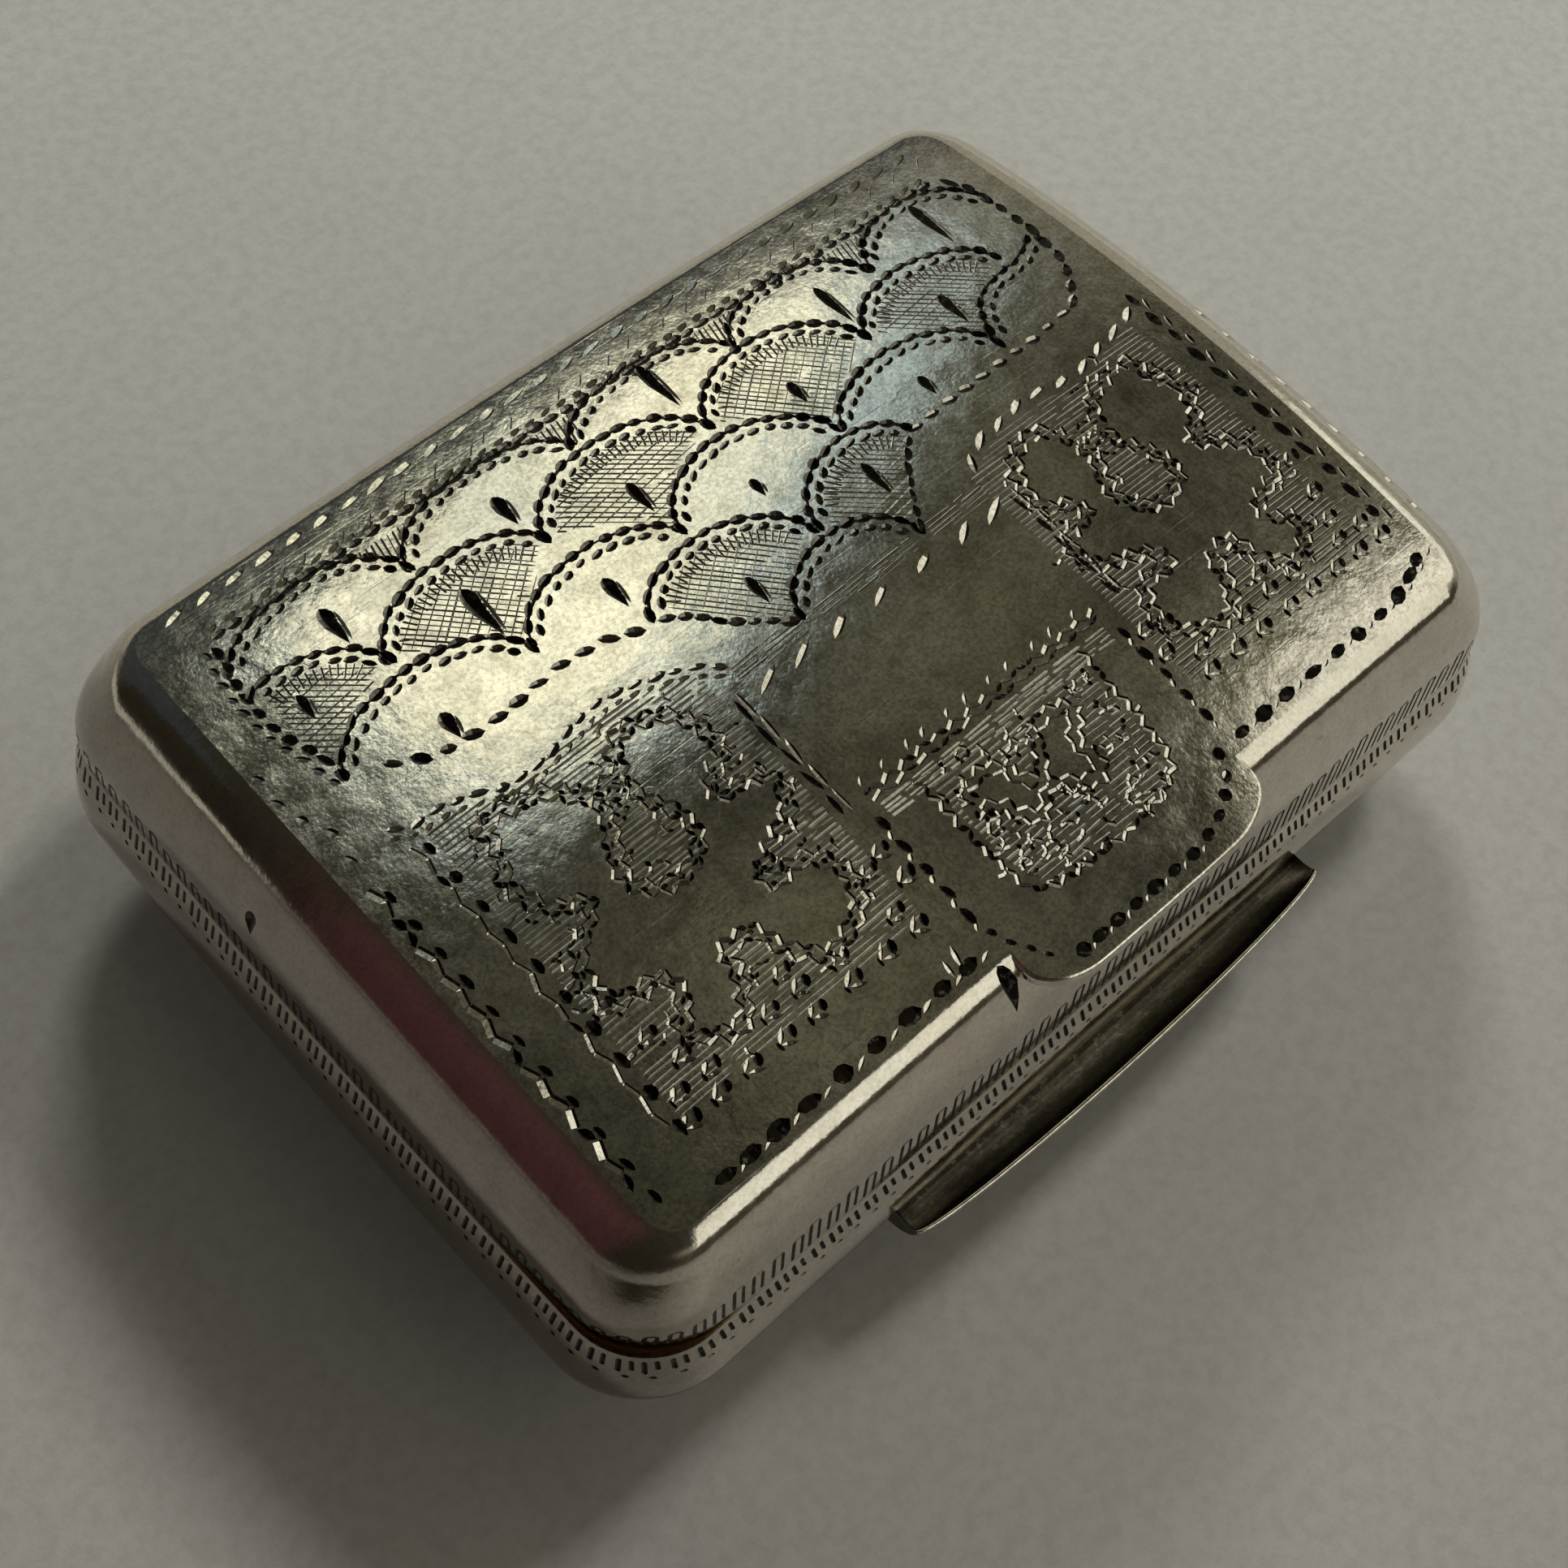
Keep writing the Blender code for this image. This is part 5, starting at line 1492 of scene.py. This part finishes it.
def cut_base_side():
    """Short strokes in pairs under the seam."""
    graver = Graver(31)
    for s in seam_places(graver):
        graver.one(s, 0.12, s + 0.05, 0.58 + graver.shake(0.06), 0.12, "line", 1.1, **SEAM_LOOK)
        graver.one(s + 0.25, 0.12, s + 0.30, 0.52 + graver.shake(0.06), 0.11, "line", 1.1, **SEAM_LOOK)
        graver.one(s + 0.12, 0.72, s + 0.30, 0.78 + graver.shake(0.04), 0.11, "cut", 1.0, **SEAM_LOOK)
    return graver.cuts


class VINAIGRETTE_OT_base_body(bpy.types.Operator):
    """The base: swelling sides with an engraved rim, turned-under foot and gilt inside"""
    bl_idname = "vinaigrette.base_body"
    bl_label = "Base"

    def execute(self, context):
        skin = Skin()
        rows = [0.0, 0.06, 0.12, 0.25, 0.45, 0.62, 0.85, 1.1, 1.4, 1.7, 2.0, 2.35, 2.7, 3.1, 3.5, 3.9]
        rows += list(np.linspace(4.3, BASE_RUN, 14))
        seam, foot = engraved_side(skin, base_side, rows, cut_base_side())
        edge = np.array([skin.points[i] for i in foot])
        inner_foot = [edge * np.array([share, share, 0]) for share in (0.92, 0.6, 0.25)]
        ids = skin.rings(inner_foot, 1)
        skin.band(foot, ids[0], 1)
        skin.fan(ids[-1], 1)
        line_base(skin, seam)
        # The rim's gilding is browned as painted shade in the gap under the lid
        brown = fire_gilding("fire gilding, painted shade at the rim", 0.85)
        # Less film on the sides, plus painted shade: dimmed towards grey and browner at the left
        sides = old_silver("sterling silver, rubbed smooth below the seam", 0.5, 0.22, 0.55)
        item = skin.build("base_body", [sides, fire_gilding(), brown])
        dress(item, None, "base", "base_shell")
        return {"FINISHED"}


def line_base(skin, seam):
    """The flat rim of the base and its gilt cavity."""
    rim = np.array([skin.points[i] for i in seam])
    rows = []
    for down in (0.0, 0.5, 1.0, 1.6, 2.3, 3.0, 3.8, 4.8, 6.0, 7.2, BASE_RUN):
        z, *section = base_section(down)
        x, y, _, _ = plan(COLUMNS, *(size - WALL for size in section))
        level = np.full(len(x), SEAM_Z - (SEAM_Z - z) * (SEAM_Z - WALL) / SEAM_Z)
        rows.append(in_groove((x, y, level)))
    inset = rim + (rows[0] - rim) * 0.08
    soft = skin.add_points(inset)
    lining = skin.rings(rows[::-1], 3, 1)
    # This band takes the gilding browned as painted shade
    skin.band(lining[-1], soft, 2, 2)
    skin.band(soft, seam, 4)
    skin.fan(lining[0], 3, 1, True)


class VINAIGRETTE_OT_lip(bpy.types.Operator):
    """Crescent lip on the front of the base: a hollow darkened by painted shade, with a thin bright rim"""
    bl_idname = "vinaigrette.lip"
    bl_label = "Crescent lip"

    def execute(self, context):
        low, high = box_in_mm("base_lip")
        half = (high.x - low.x) / 2
        skin = Skin()
        ids = []
        for i in range(LIP_STATIONS + 1):
            share = math.sin(mix(-0.5, 0.5, i / LIP_STATIONS) * math.pi)
            ids.append(skin.add_points(lip_section(share * half, half, low.z, high.z)))
        # Each band of the lip takes the painted shade of its section
        count = len(LIP_SHADE_TONES)
        for left, right in zip(ids, ids[1:]):
            skin.band(left, right, 1)
            skin.stains[-count:] = LIP_SHADE_TONES
        skin.fan(ids[0], 2)
        skin.fan(ids[-1], 3, 0, True)
        # Painted shade at the lip's tips
        skin.stains[-2 * count:] = [0.9] * (2 * count)
        item = skin.build("crescent_lip", [old_silver("sterling silver, smooth lip")])
        dress(item, None, "base", "base_lip")
        return {"FINISHED"}


def base_front(z):
    """Where the front of the base stands at a height."""
    heights = PROFILE_ROWS[::-1, 0]
    return -float(np.interp(z, heights, PROFILE_ROWS[::-1, 2]))


def curve_between(start, bend, end, steps):
    points = []
    for step in range(steps + 1):
        t = step / steps
        points.append(tuple((1 - t) ** 2 * start[i] + 2 * t * (1 - t) * bend[i] + t ** 2 * end[i] for i in (0, 1)))
    return points


def lip_section(x, half, bottom, top):
    """Root, swelling underside, half-round rim and hollow at one place along the lip."""
    crescent = math.sqrt(max(0.0, 1 - (x / half) ** 2))
    reach = mix(*LIP_REACH, crescent)
    rim = mix(*LIP_RIM, crescent)
    outer = base_front(top) - reach
    root = base_front(bottom)
    under = curve_between((root, bottom), (outer + 0.10, bottom + 0.05), (outer, top - rim), 8)
    edge = []
    for step in range(1, 6):
        turn = step / 6 * math.pi
        edge.append((outer + rim * (1 - math.cos(turn)), top - rim + rim * math.sin(turn)))
    floor = top - mix(*LIP_HOLLOW, min(1.0, crescent * 1.6))
    back = (base_front(floor) + 0.03, floor)
    bend = (outer + 0.30 * reach + rim, floor - 0.02)
    hollow = curve_between((outer + 2 * rim, top - rim), bend, back, 10)
    return [(x, y, z) for y, z in under + edge + hollow]


class VINAIGRETTE_OT_hinges(bpy.types.Operator):
    """Tubes of the lid hinge and the grille hinge, turned fine with worn rims"""
    bl_idname = "vinaigrette.hinges"
    bl_label = "Hinge tubes"

    def execute(self, context):
        silver = old_silver("sterling silver, hinge tube")
        for owner, count in (("base", 3), ("lid", 2)):
            for index in range(1, count + 1):
                node = f"{owner}_knuckle_{index}"
                hinge_tube(f"{owner}_hinge_tube_{index}", node, *LID_TUBE, silver, owner)
        gilt = fire_gilding("fire gilding, hinge tube")
        for node in ("grille_base_knuckle_1", "grille_base_knuckle_2", "grille_knuckle"):
            body = "base" if "base" in node else "grille"
            hinge_tube(f"{node}_fine", node, *GRILLE_TUBE, gilt, body)
        return {"FINISHED"}


def flat_curve(name, outlines, low, high, soft):
    """A plate cut from flat outlines between two heights, with its edges eased."""
    select_none()
    curve = bpy.data.curves.new(name, "CURVE")
    curve.dimensions = "2D"
    curve.fill_mode = "BOTH"
    curve.extrude = ((high - low) / 2 - soft) * MM
    curve.bevel_depth = soft * MM
    curve.bevel_resolution = 2
    curve.offset = -soft * MM
    for points in outlines:
        spline = curve.splines.new("POLY")
        spline.points.add(len(points) - 1)
        for target, (x, y) in zip(spline.points, points):
            target.co = (x * MM, y * MM, 0, 1)
        spline.use_cyclic_u = True
    item = bpy.data.objects.new(name, curve)
    bpy.context.scene.collection.objects.link(item)
    item.location = (0, 0, (high + low) / 2 * MM)
    select_only(item)
    bpy.ops.object.convert(target="MESH")
    item = bpy.context.active_object
    settle(item, name)
    bpy.ops.object.mode_set(mode="EDIT")
    bpy.ops.mesh.select_all(action="SELECT")
    bpy.ops.mesh.remove_doubles(threshold=0.000002)
    bpy.ops.mesh.normals_make_consistent(inside=False)
    bpy.ops.object.mode_set(mode="OBJECT")
    bpy.ops.object.shade_smooth_by_angle(angle=math.radians(35))
    return item


def circle(x, y, radius, steps):
    return [(x + radius * math.cos(2 * math.pi * i / steps), y + radius * math.sin(2 * math.pi * i / steps))
            for i in range(steps)]


class VINAIGRETTE_OT_grille(bpy.types.Operator):
    """Pierced gilt grille with eased holes, and its finger tab"""
    bl_idname = "vinaigrette.grille"
    bl_label = "Grille and tab"

    def execute(self, context):
        gilt = fire_gilding("fire gilding, grille")
        low, high = box_in_mm("grille_plate")
        half_x = (high.x - low.x) / 2
        half_y = (high.y - low.y) / 2
        middle_y = (high.y + low.y) / 2
        edge = []
        for quarter, (sx, sy) in enumerate(((1, 1), (-1, 1), (-1, -1), (1, -1))):
            for step in range(9):
                turn = (quarter + step / 8) * math.pi / 2
                edge.append((sx * (half_x - GRILLE_CORNER) + GRILLE_CORNER * math.cos(turn),
                             middle_y + sy * (half_y - GRILLE_CORNER) + GRILLE_CORNER * math.sin(turn)))
        outlines = [edge]
        columns, rows = GRILLE_HOLES
        pitch_x = (2 * half_x - 2 * GRILLE_BORDER) / columns
        pitch_y = (2 * half_y - 2 * GRILLE_BORDER) / rows
        for column in range(columns):
            for row in range(rows):
                x = (column - (columns - 1) / 2) * pitch_x
                y = middle_y + (row - (rows - 1) / 2) * pitch_y
                outlines.append(circle(x, y, GRILLE_HOLE, 28))
                if column and row:
                    outlines.append(circle(x - pitch_x / 2, y - pitch_y / 2, GRILLE_SMALL_HOLE, 14))
        plate = flat_curve("pierced_grille", outlines, low.z, high.z, GRILLE_EASE)
        dress(plate, gilt, "grille", "grille_plate")
        low, high = box_in_mm("grille_tab")
        half_round = circle(0, low.y, (high.x - low.x) / 2, 48)[:25]
        tab = flat_curve("finger_tab", [half_round], low.z, high.z, TAB_EASE)
        dress(tab, gilt, "grille", "grille_tab")
        return {"FINISHED"}


class VINAIGRETTE_OT_fittings(bpy.types.Operator):
    """Finishes of the solids whose shape is already right: bezel, seat, bearers, pins and plugs"""
    bl_idname = "vinaigrette.fittings"
    bl_label = "Bezel, seat, bearers and pins"

    def execute(self, context):
        silver = old_silver("sterling silver, hinge bearer")
        # The bezel's gilding is partly browned as painted shade in the seam gap
        gilt = fire_gilding("fire gilding, bezel", 0.4)
        wire = drawn_wire()
        finishes = (
            (gilt, ("base_bezel", "grille_seat")),
            (silver, ("base_hinge_bearer", "lid_hinge_bearer", "pin_plug_left", "pin_plug_right")),
            (wire, ("lid_hinge_pin", "grille_pin")),
        )
        for material, nodes in finishes:
            for node in nodes:
                for place in frame["nodes"][node].material_slots:
                    place.material = material
        return {"FINISHED"}


class VINAIGRETTE_OT_sponge(bpy.types.Operator):
    """Piece of natural sponge in the cavity, open with pores"""
    bl_idname = "vinaigrette.sponge"
    bl_label = "Sponge"

    def execute(self, context):
        sizes = context.scene.vinaigrette_sizes
        solid = frame["nodes"]["sponge"]
        item = bpy.data.objects.new("sponge_piece", solid.data.copy())
        bpy.context.scene.collection.objects.link(item)
        select_only(item)
        bpy.ops.object.mode_set(mode="EDIT")
        bpy.ops.mesh.select_all(action="SELECT")
        bpy.ops.mesh.remove_doubles(threshold=0.000002)
        bpy.ops.object.mode_set(mode="OBJECT")
        item.data.materials.clear()
        remesh = item.modifiers.new("fine skin", "REMESH")
        remesh.mode = "VOXEL"
        remesh.voxel_size = sizes.sponge_grain
        remesh.adaptivity = 0
        bpy.ops.object.modifier_apply(modifier=remesh.name)
        pore_sponge(item.data)
        bpy.ops.object.shade_smooth()
        dress(item, dry_sponge(), "base", "sponge")
        return {"FINISHED"}


def pore_sponge(mesh):
    """Sink pores of three sizes into the skin and leave it rough between them."""
    count = len(mesh.vertices)
    normals = np.zeros(count * 3)
    mesh.vertex_normals.foreach_get("vector", normals)
    normals = normals.reshape(-1, 3)
    for vertex, normal in zip(mesh.vertices, normals):
        place = vertex.co / MM
        sink = 0.05
        for size, depth in PORES:
            near = noise.voronoi(place / size)[0][0]
            sink += depth * max(0.0, 1 - near / 0.42) ** 0.7
        sink += 0.12 * (noise.noise(place / 2.6) + 0.6)
        vertex.co = vertex.co - Vector(normal) * (sink * MM)
    mesh.update()


# Stage

CAMERA_PLACE = (-0.02331837, -0.01909624, 0.05324947)
CAMERA_AHEAD = (0.37601217, 0.31364109, -0.87191978)
CAMERA_RIGHT = (0.73321043, -0.67607184, 0.07300229)
CAMERA_LENS = 50.80
CAMERA_SENSOR = 36
CAMERA_SHIFT = 0.00526
CAMERA_RANGE = (0.002, 10)
FLOOR_SIZE = 1.2
ROOM_STRENGTH = 1.32

# Patches of the room, as on a ceiling one unit up: corners anticlockwise, softness of the edge, colour
ROOM_PATCHES = (
    (((-0.7, 0.825), (1.4, 1.14), (3.2, 3.6), (-2.2, 3.6)), 0.03, "back_wall"),
    (((0.98, -0.75), (4.5, -1.6), (4.5, 1.25), (1.02, 0.08)), 0.05, "right_wall"),
    (((0.64, -0.6), (1.2, -0.6), (1.2, 0.06), (0.68, 0.04)), 0.03, "right_wall"),
    (((0.12, -0.52), (-0.3, -3.2), (3.2, -3.2), (1.3, -0.52)), 0.05, "front_wall"),
    (((0.19, 0.385), (0.42, 0.375), (0.97, 0.70), (1.05, 0.99), (0.55, 1.0), (0.19, 0.93)), 0.025, "window_edge"),
    (((0.22, 0.42), (0.40, 0.41), (0.88, 0.82), (0.93, 0.975), (0.55, 0.98), (0.21, 0.905)), 0.03, "glass"),
)
# Name, place, side of the square and power in watts of each lamp
LAMPS = (
    ("window light", (0.155, 0.185, 0.175), 0.055, 0.42),
    ("light at the right", (0.190, 0.02, 0.210), 0.055, 0.40),
    ("weak light at the left", (-0.12, -0.16, 0.26), 0.20, 0.085),
)


def window(tree, direction, corners, soft):
    """Share of light in a bright patch of the room, drawn on a ceiling one unit up; 1 inside it."""
    share = None
    for (x0, y0), (x1, y1) in zip(corners, corners[1:] + corners[:1]):
        size = math.hypot(x1 - x0, y1 - y0)
        a = -(y1 - y0) / size
        b = (x1 - x0) / size
        edge = (a, b, -(a * x0 + b * y0))
        off = add(tree, "ShaderNodeVectorMath", {0: direction, 1: edge}, operation="DOT_PRODUCT").outputs["Value"]
        share = off if share is None else maths(tree, "MINIMUM", share, off)
    return ramp(tree, share, 0.0, soft)


def room_light(context):
    """The room in the silver: dark overhead, a window behind at the right, pale walls right and in front."""
    colours = context.scene.vinaigrette_colours
    world = bpy.data.worlds.new("studio room")
    context.scene.world = world
    world.use_nodes = True
    tree = world.node_tree
    backdrop = tree.nodes["Background"]
    direction = add(tree, "ShaderNodeTexCoord").outputs["Generated"]
    east, north, height = add(tree, "ShaderNodeSeparateXYZ", {0: direction}).outputs
    smoke = ramp(tree, grain(tree, direction, 9.0, 4.0, 0.6), 0.38, 0.62)
    ceiling = blend_colour(tree, smoke, colours.left_ceiling, colours.ceiling)
    colour = blend_colour(tree, ramp(tree, height, 0.35, 0.72), colours.walls, ceiling)
    front = times(tree, ramp(tree, north, -0.20, -0.55), ramp(tree, height, 0.40, 0.22))
    colour = blend_colour(tree, front, colour, colours.low_front)
    edge = times(tree, ramp(tree, east, 0.17, 0.08), ramp(tree, height, 0.3, 0.55))
    colour = blend_colour(tree, edge, colour, colours.left_ceiling)
    band = times(tree, ramp(tree, north, -0.30, 0.0), ramp(tree, north, 0.48, 0.38))
    maroon = blend_colour(tree, band, from_hex("#2b2820"), colours.left_wall)
    low = ramp(tree, height, -0.02, 0.12, 0.4, 1.0)
    left = times(tree, ramp(tree, east, -0.12, -0.60), low)
    colour = blend_colour(tree, left, colour, maroon)
    glow = times(tree, ramp(tree, east, -0.3, -0.6), ramp(tree, height, 0.16, 0.10))
    glow = times(tree, glow, ramp(tree, north, 0.45, 0.53, 0.0, 0.7))
    colour = blend_colour(tree, glow, colour, colours.right_wall)
    clouds = ramp(tree, grain(tree, direction, 7.0, 3.0, 0.55), 0.52, 0.66, 0.0, 0.65)
    glass = blend_colour(tree, clouds, colours.window, colours.window_edge)
    for corners, soft, name in ROOM_PATCHES:
        light = glass if name == "glass" else getattr(colours, name)
        colour = blend_colour(tree, window(tree, direction, corners, soft), colour, light)
    link(tree, colour, backdrop, "Color")
    backdrop.inputs["Strength"].default_value = ROOM_STRENGTH


def soft_lamp(name, place, size, power):
    """A lamp for the paper and the sponge. The silver doesn't mirror it, since it mirrors the room's window."""
    data = bpy.data.lights.new(name, "AREA")
    data.shape = "SQUARE"
    data.size = size
    data.energy = power
    lamp = bpy.data.objects.new(name, data)
    bpy.context.scene.collection.objects.link(lamp)
    lamp.location = place
    lamp.rotation_euler = Vector(place).to_track_quat("Z", "Y").to_euler()
    lamp.visible_glossy = False


class VINAIGRETTE_OT_stage(bpy.types.Operator):
    """Paper floor, room light and the camera"""
    bl_idname = "vinaigrette.stage"
    bl_label = "Stage"

    def execute(self, context):
        select_none()
        bpy.ops.mesh.primitive_plane_add(size=FLOOR_SIZE, location=(0, 0, 0))
        floor = settle(context.active_object, "paper_floor")
        floor.data.materials.append(floor_paper())
        room_light(context)
        for lamp in LAMPS:
            soft_lamp(*lamp)
        camera = bpy.data.objects.new("camera", bpy.data.cameras.new("camera"))
        context.scene.collection.objects.link(camera)
        ahead = Vector(CAMERA_AHEAD).normalized()
        right = Vector(CAMERA_RIGHT).normalized()
        up = right.cross(ahead)
        turn = Matrix((right, up, -ahead)).transposed().to_4x4()
        camera.matrix_world = Matrix.Translation(CAMERA_PLACE) @ turn
        camera.data.sensor_width = CAMERA_SENSOR
        camera.data.lens = CAMERA_LENS
        camera.data.shift_x = CAMERA_SHIFT
        camera.data.clip_start, camera.data.clip_end = CAMERA_RANGE
        context.scene.camera = camera
        context.scene.view_settings.view_transform = "Standard"
        return {"FINISHED"}


# Settings and panel

def length_of(name, size, least, description):
    """A length, with its size and the least a user may set in millimetres."""
    return FloatProperty(name=name, description=description, default=size * MM, min=least * MM,
                         subtype="DISTANCE", unit="LENGTH")


def colour_of(name, text, description):
    return FloatVectorProperty(name=name, description=description, default=from_hex(text), size=3,
                               min=0.0, max=1.0, subtype="COLOR")


class VinaigretteSizes(bpy.types.PropertyGroup):
    """Sizes that a user would change"""
    plain_pitch: length_of("Plain grid", 0.45, 0.1, "Pitch of the points on plain silver")
    cut_depth: FloatProperty(name="Cut depth", description="Depth of the engraving against its width",
                             default=1.0, min=0.1, max=2.0, subtype="FACTOR")
    seam_pitch: length_of("Seam stroke pitch", 0.54, 0.1, "Gap between the pairs of strokes beside the seam")
    sponge_grain: length_of("Sponge grain", 0.16, 0.08, "Fineness of the sponge's skin")


class VinaigretteColours(bpy.types.PropertyGroup):
    """Colours that a user would change"""
    silver: colour_of("Silver", "#f1ece1", "Clean silver")
    # Dark colour for tarnish in the cuts and specks, and for painted shade on the cut facets facing away from the
    # light
    film: colour_of("Film", "#cfc7ae", "Faint olive film on rubbed silver")
    tarnish: colour_of("Tarnish", "#1d1914", "Stain in the cuts")
    gilt: colour_of("Gilding", "#f0c777", "Bright gilding")
    amber: colour_of("Amber", "#a8702c", "Residue in the gilding")
    sponge: colour_of("Sponge", "#b98d4f", "Dry sponge")
    # Painted shadow: the paper's tone towards the left front
    floor_near: colour_of("Floor, near", "#98948e", "Paper towards the left front")
    floor_far: colour_of("Floor, far", "#a5a49b", "Paper towards the back")
    walls: colour_of("Walls", "#8f8b80", "Walls of the room")
    ceiling: colour_of("Ceiling", "#535244", "Dark overhead")
    left_ceiling: colour_of("Left ceiling", "#2a2821", "Darker clouds overhead and at the left")
    low_front: colour_of("Low front", "#3a342a", "Dark near the table in front")
    left_wall: colour_of("Left wall", "#4b3133", "Dark wall at the left")
    right_wall: colour_of("Right wall", "#e6e4d6", "Bright wall at the right")
    front_wall: colour_of("Front wall", "#e2e0d2", "Bright wall in front")
    back_wall: colour_of("Back wall", "#35383a", "Dark wall past the window")
    window: colour_of("Window", "#fffee4", "Light from the window")
    window_edge: colour_of("Window edge", "#9fb0b4", "Cool light at the window's edge")


PIECES = (
    VINAIGRETTE_OT_lid_plate, VINAIGRETTE_OT_lid_body, VINAIGRETTE_OT_base_body, VINAIGRETTE_OT_lip,
    VINAIGRETTE_OT_hinges, VINAIGRETTE_OT_grille, VINAIGRETTE_OT_fittings, VINAIGRETTE_OT_sponge,
    VINAIGRETTE_OT_stage,
)


class VINAIGRETTE_PT_panel(bpy.types.Panel):
    """Lists the pieces, sizes and colours"""
    bl_idname = "VINAIGRETTE_PT_panel"
    bl_label = "Purse vinaigrette"
    bl_space_type = "VIEW_3D"
    bl_region_type = "UI"
    bl_category = "Vinaigrette"

    def draw(self, context):
        for piece in PIECES:
            self.layout.operator(piece.bl_idname)
        for group in (context.scene.vinaigrette_sizes, context.scene.vinaigrette_colours):
            box = self.layout.box()
            for name in group.__annotations__:
                box.prop(group, name)


CLASSES = (VinaigretteSizes, VinaigretteColours) + PIECES + (VINAIGRETTE_PT_panel,)


def register():
    for item in CLASSES:
        bpy.utils.register_class(item)
    bpy.types.Scene.vinaigrette_sizes = PointerProperty(type=VinaigretteSizes)
    bpy.types.Scene.vinaigrette_colours = PointerProperty(type=VinaigretteColours)


def unregister():
    del bpy.types.Scene.vinaigrette_colours
    del bpy.types.Scene.vinaigrette_sizes
    for item in reversed(CLASSES):
        bpy.utils.unregister_class(item)


def main():
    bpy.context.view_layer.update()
    register()
    bpy.ops.vinaigrette.lid_plate()
    bpy.ops.vinaigrette.lid_body()
    bpy.ops.vinaigrette.base_body()
    bpy.ops.vinaigrette.lip()
    bpy.ops.vinaigrette.hinges()
    bpy.ops.vinaigrette.grille()
    bpy.ops.vinaigrette.fittings()
    bpy.ops.vinaigrette.sponge()
    bpy.ops.vinaigrette.stage()


if __name__ == "__main__":
    main()
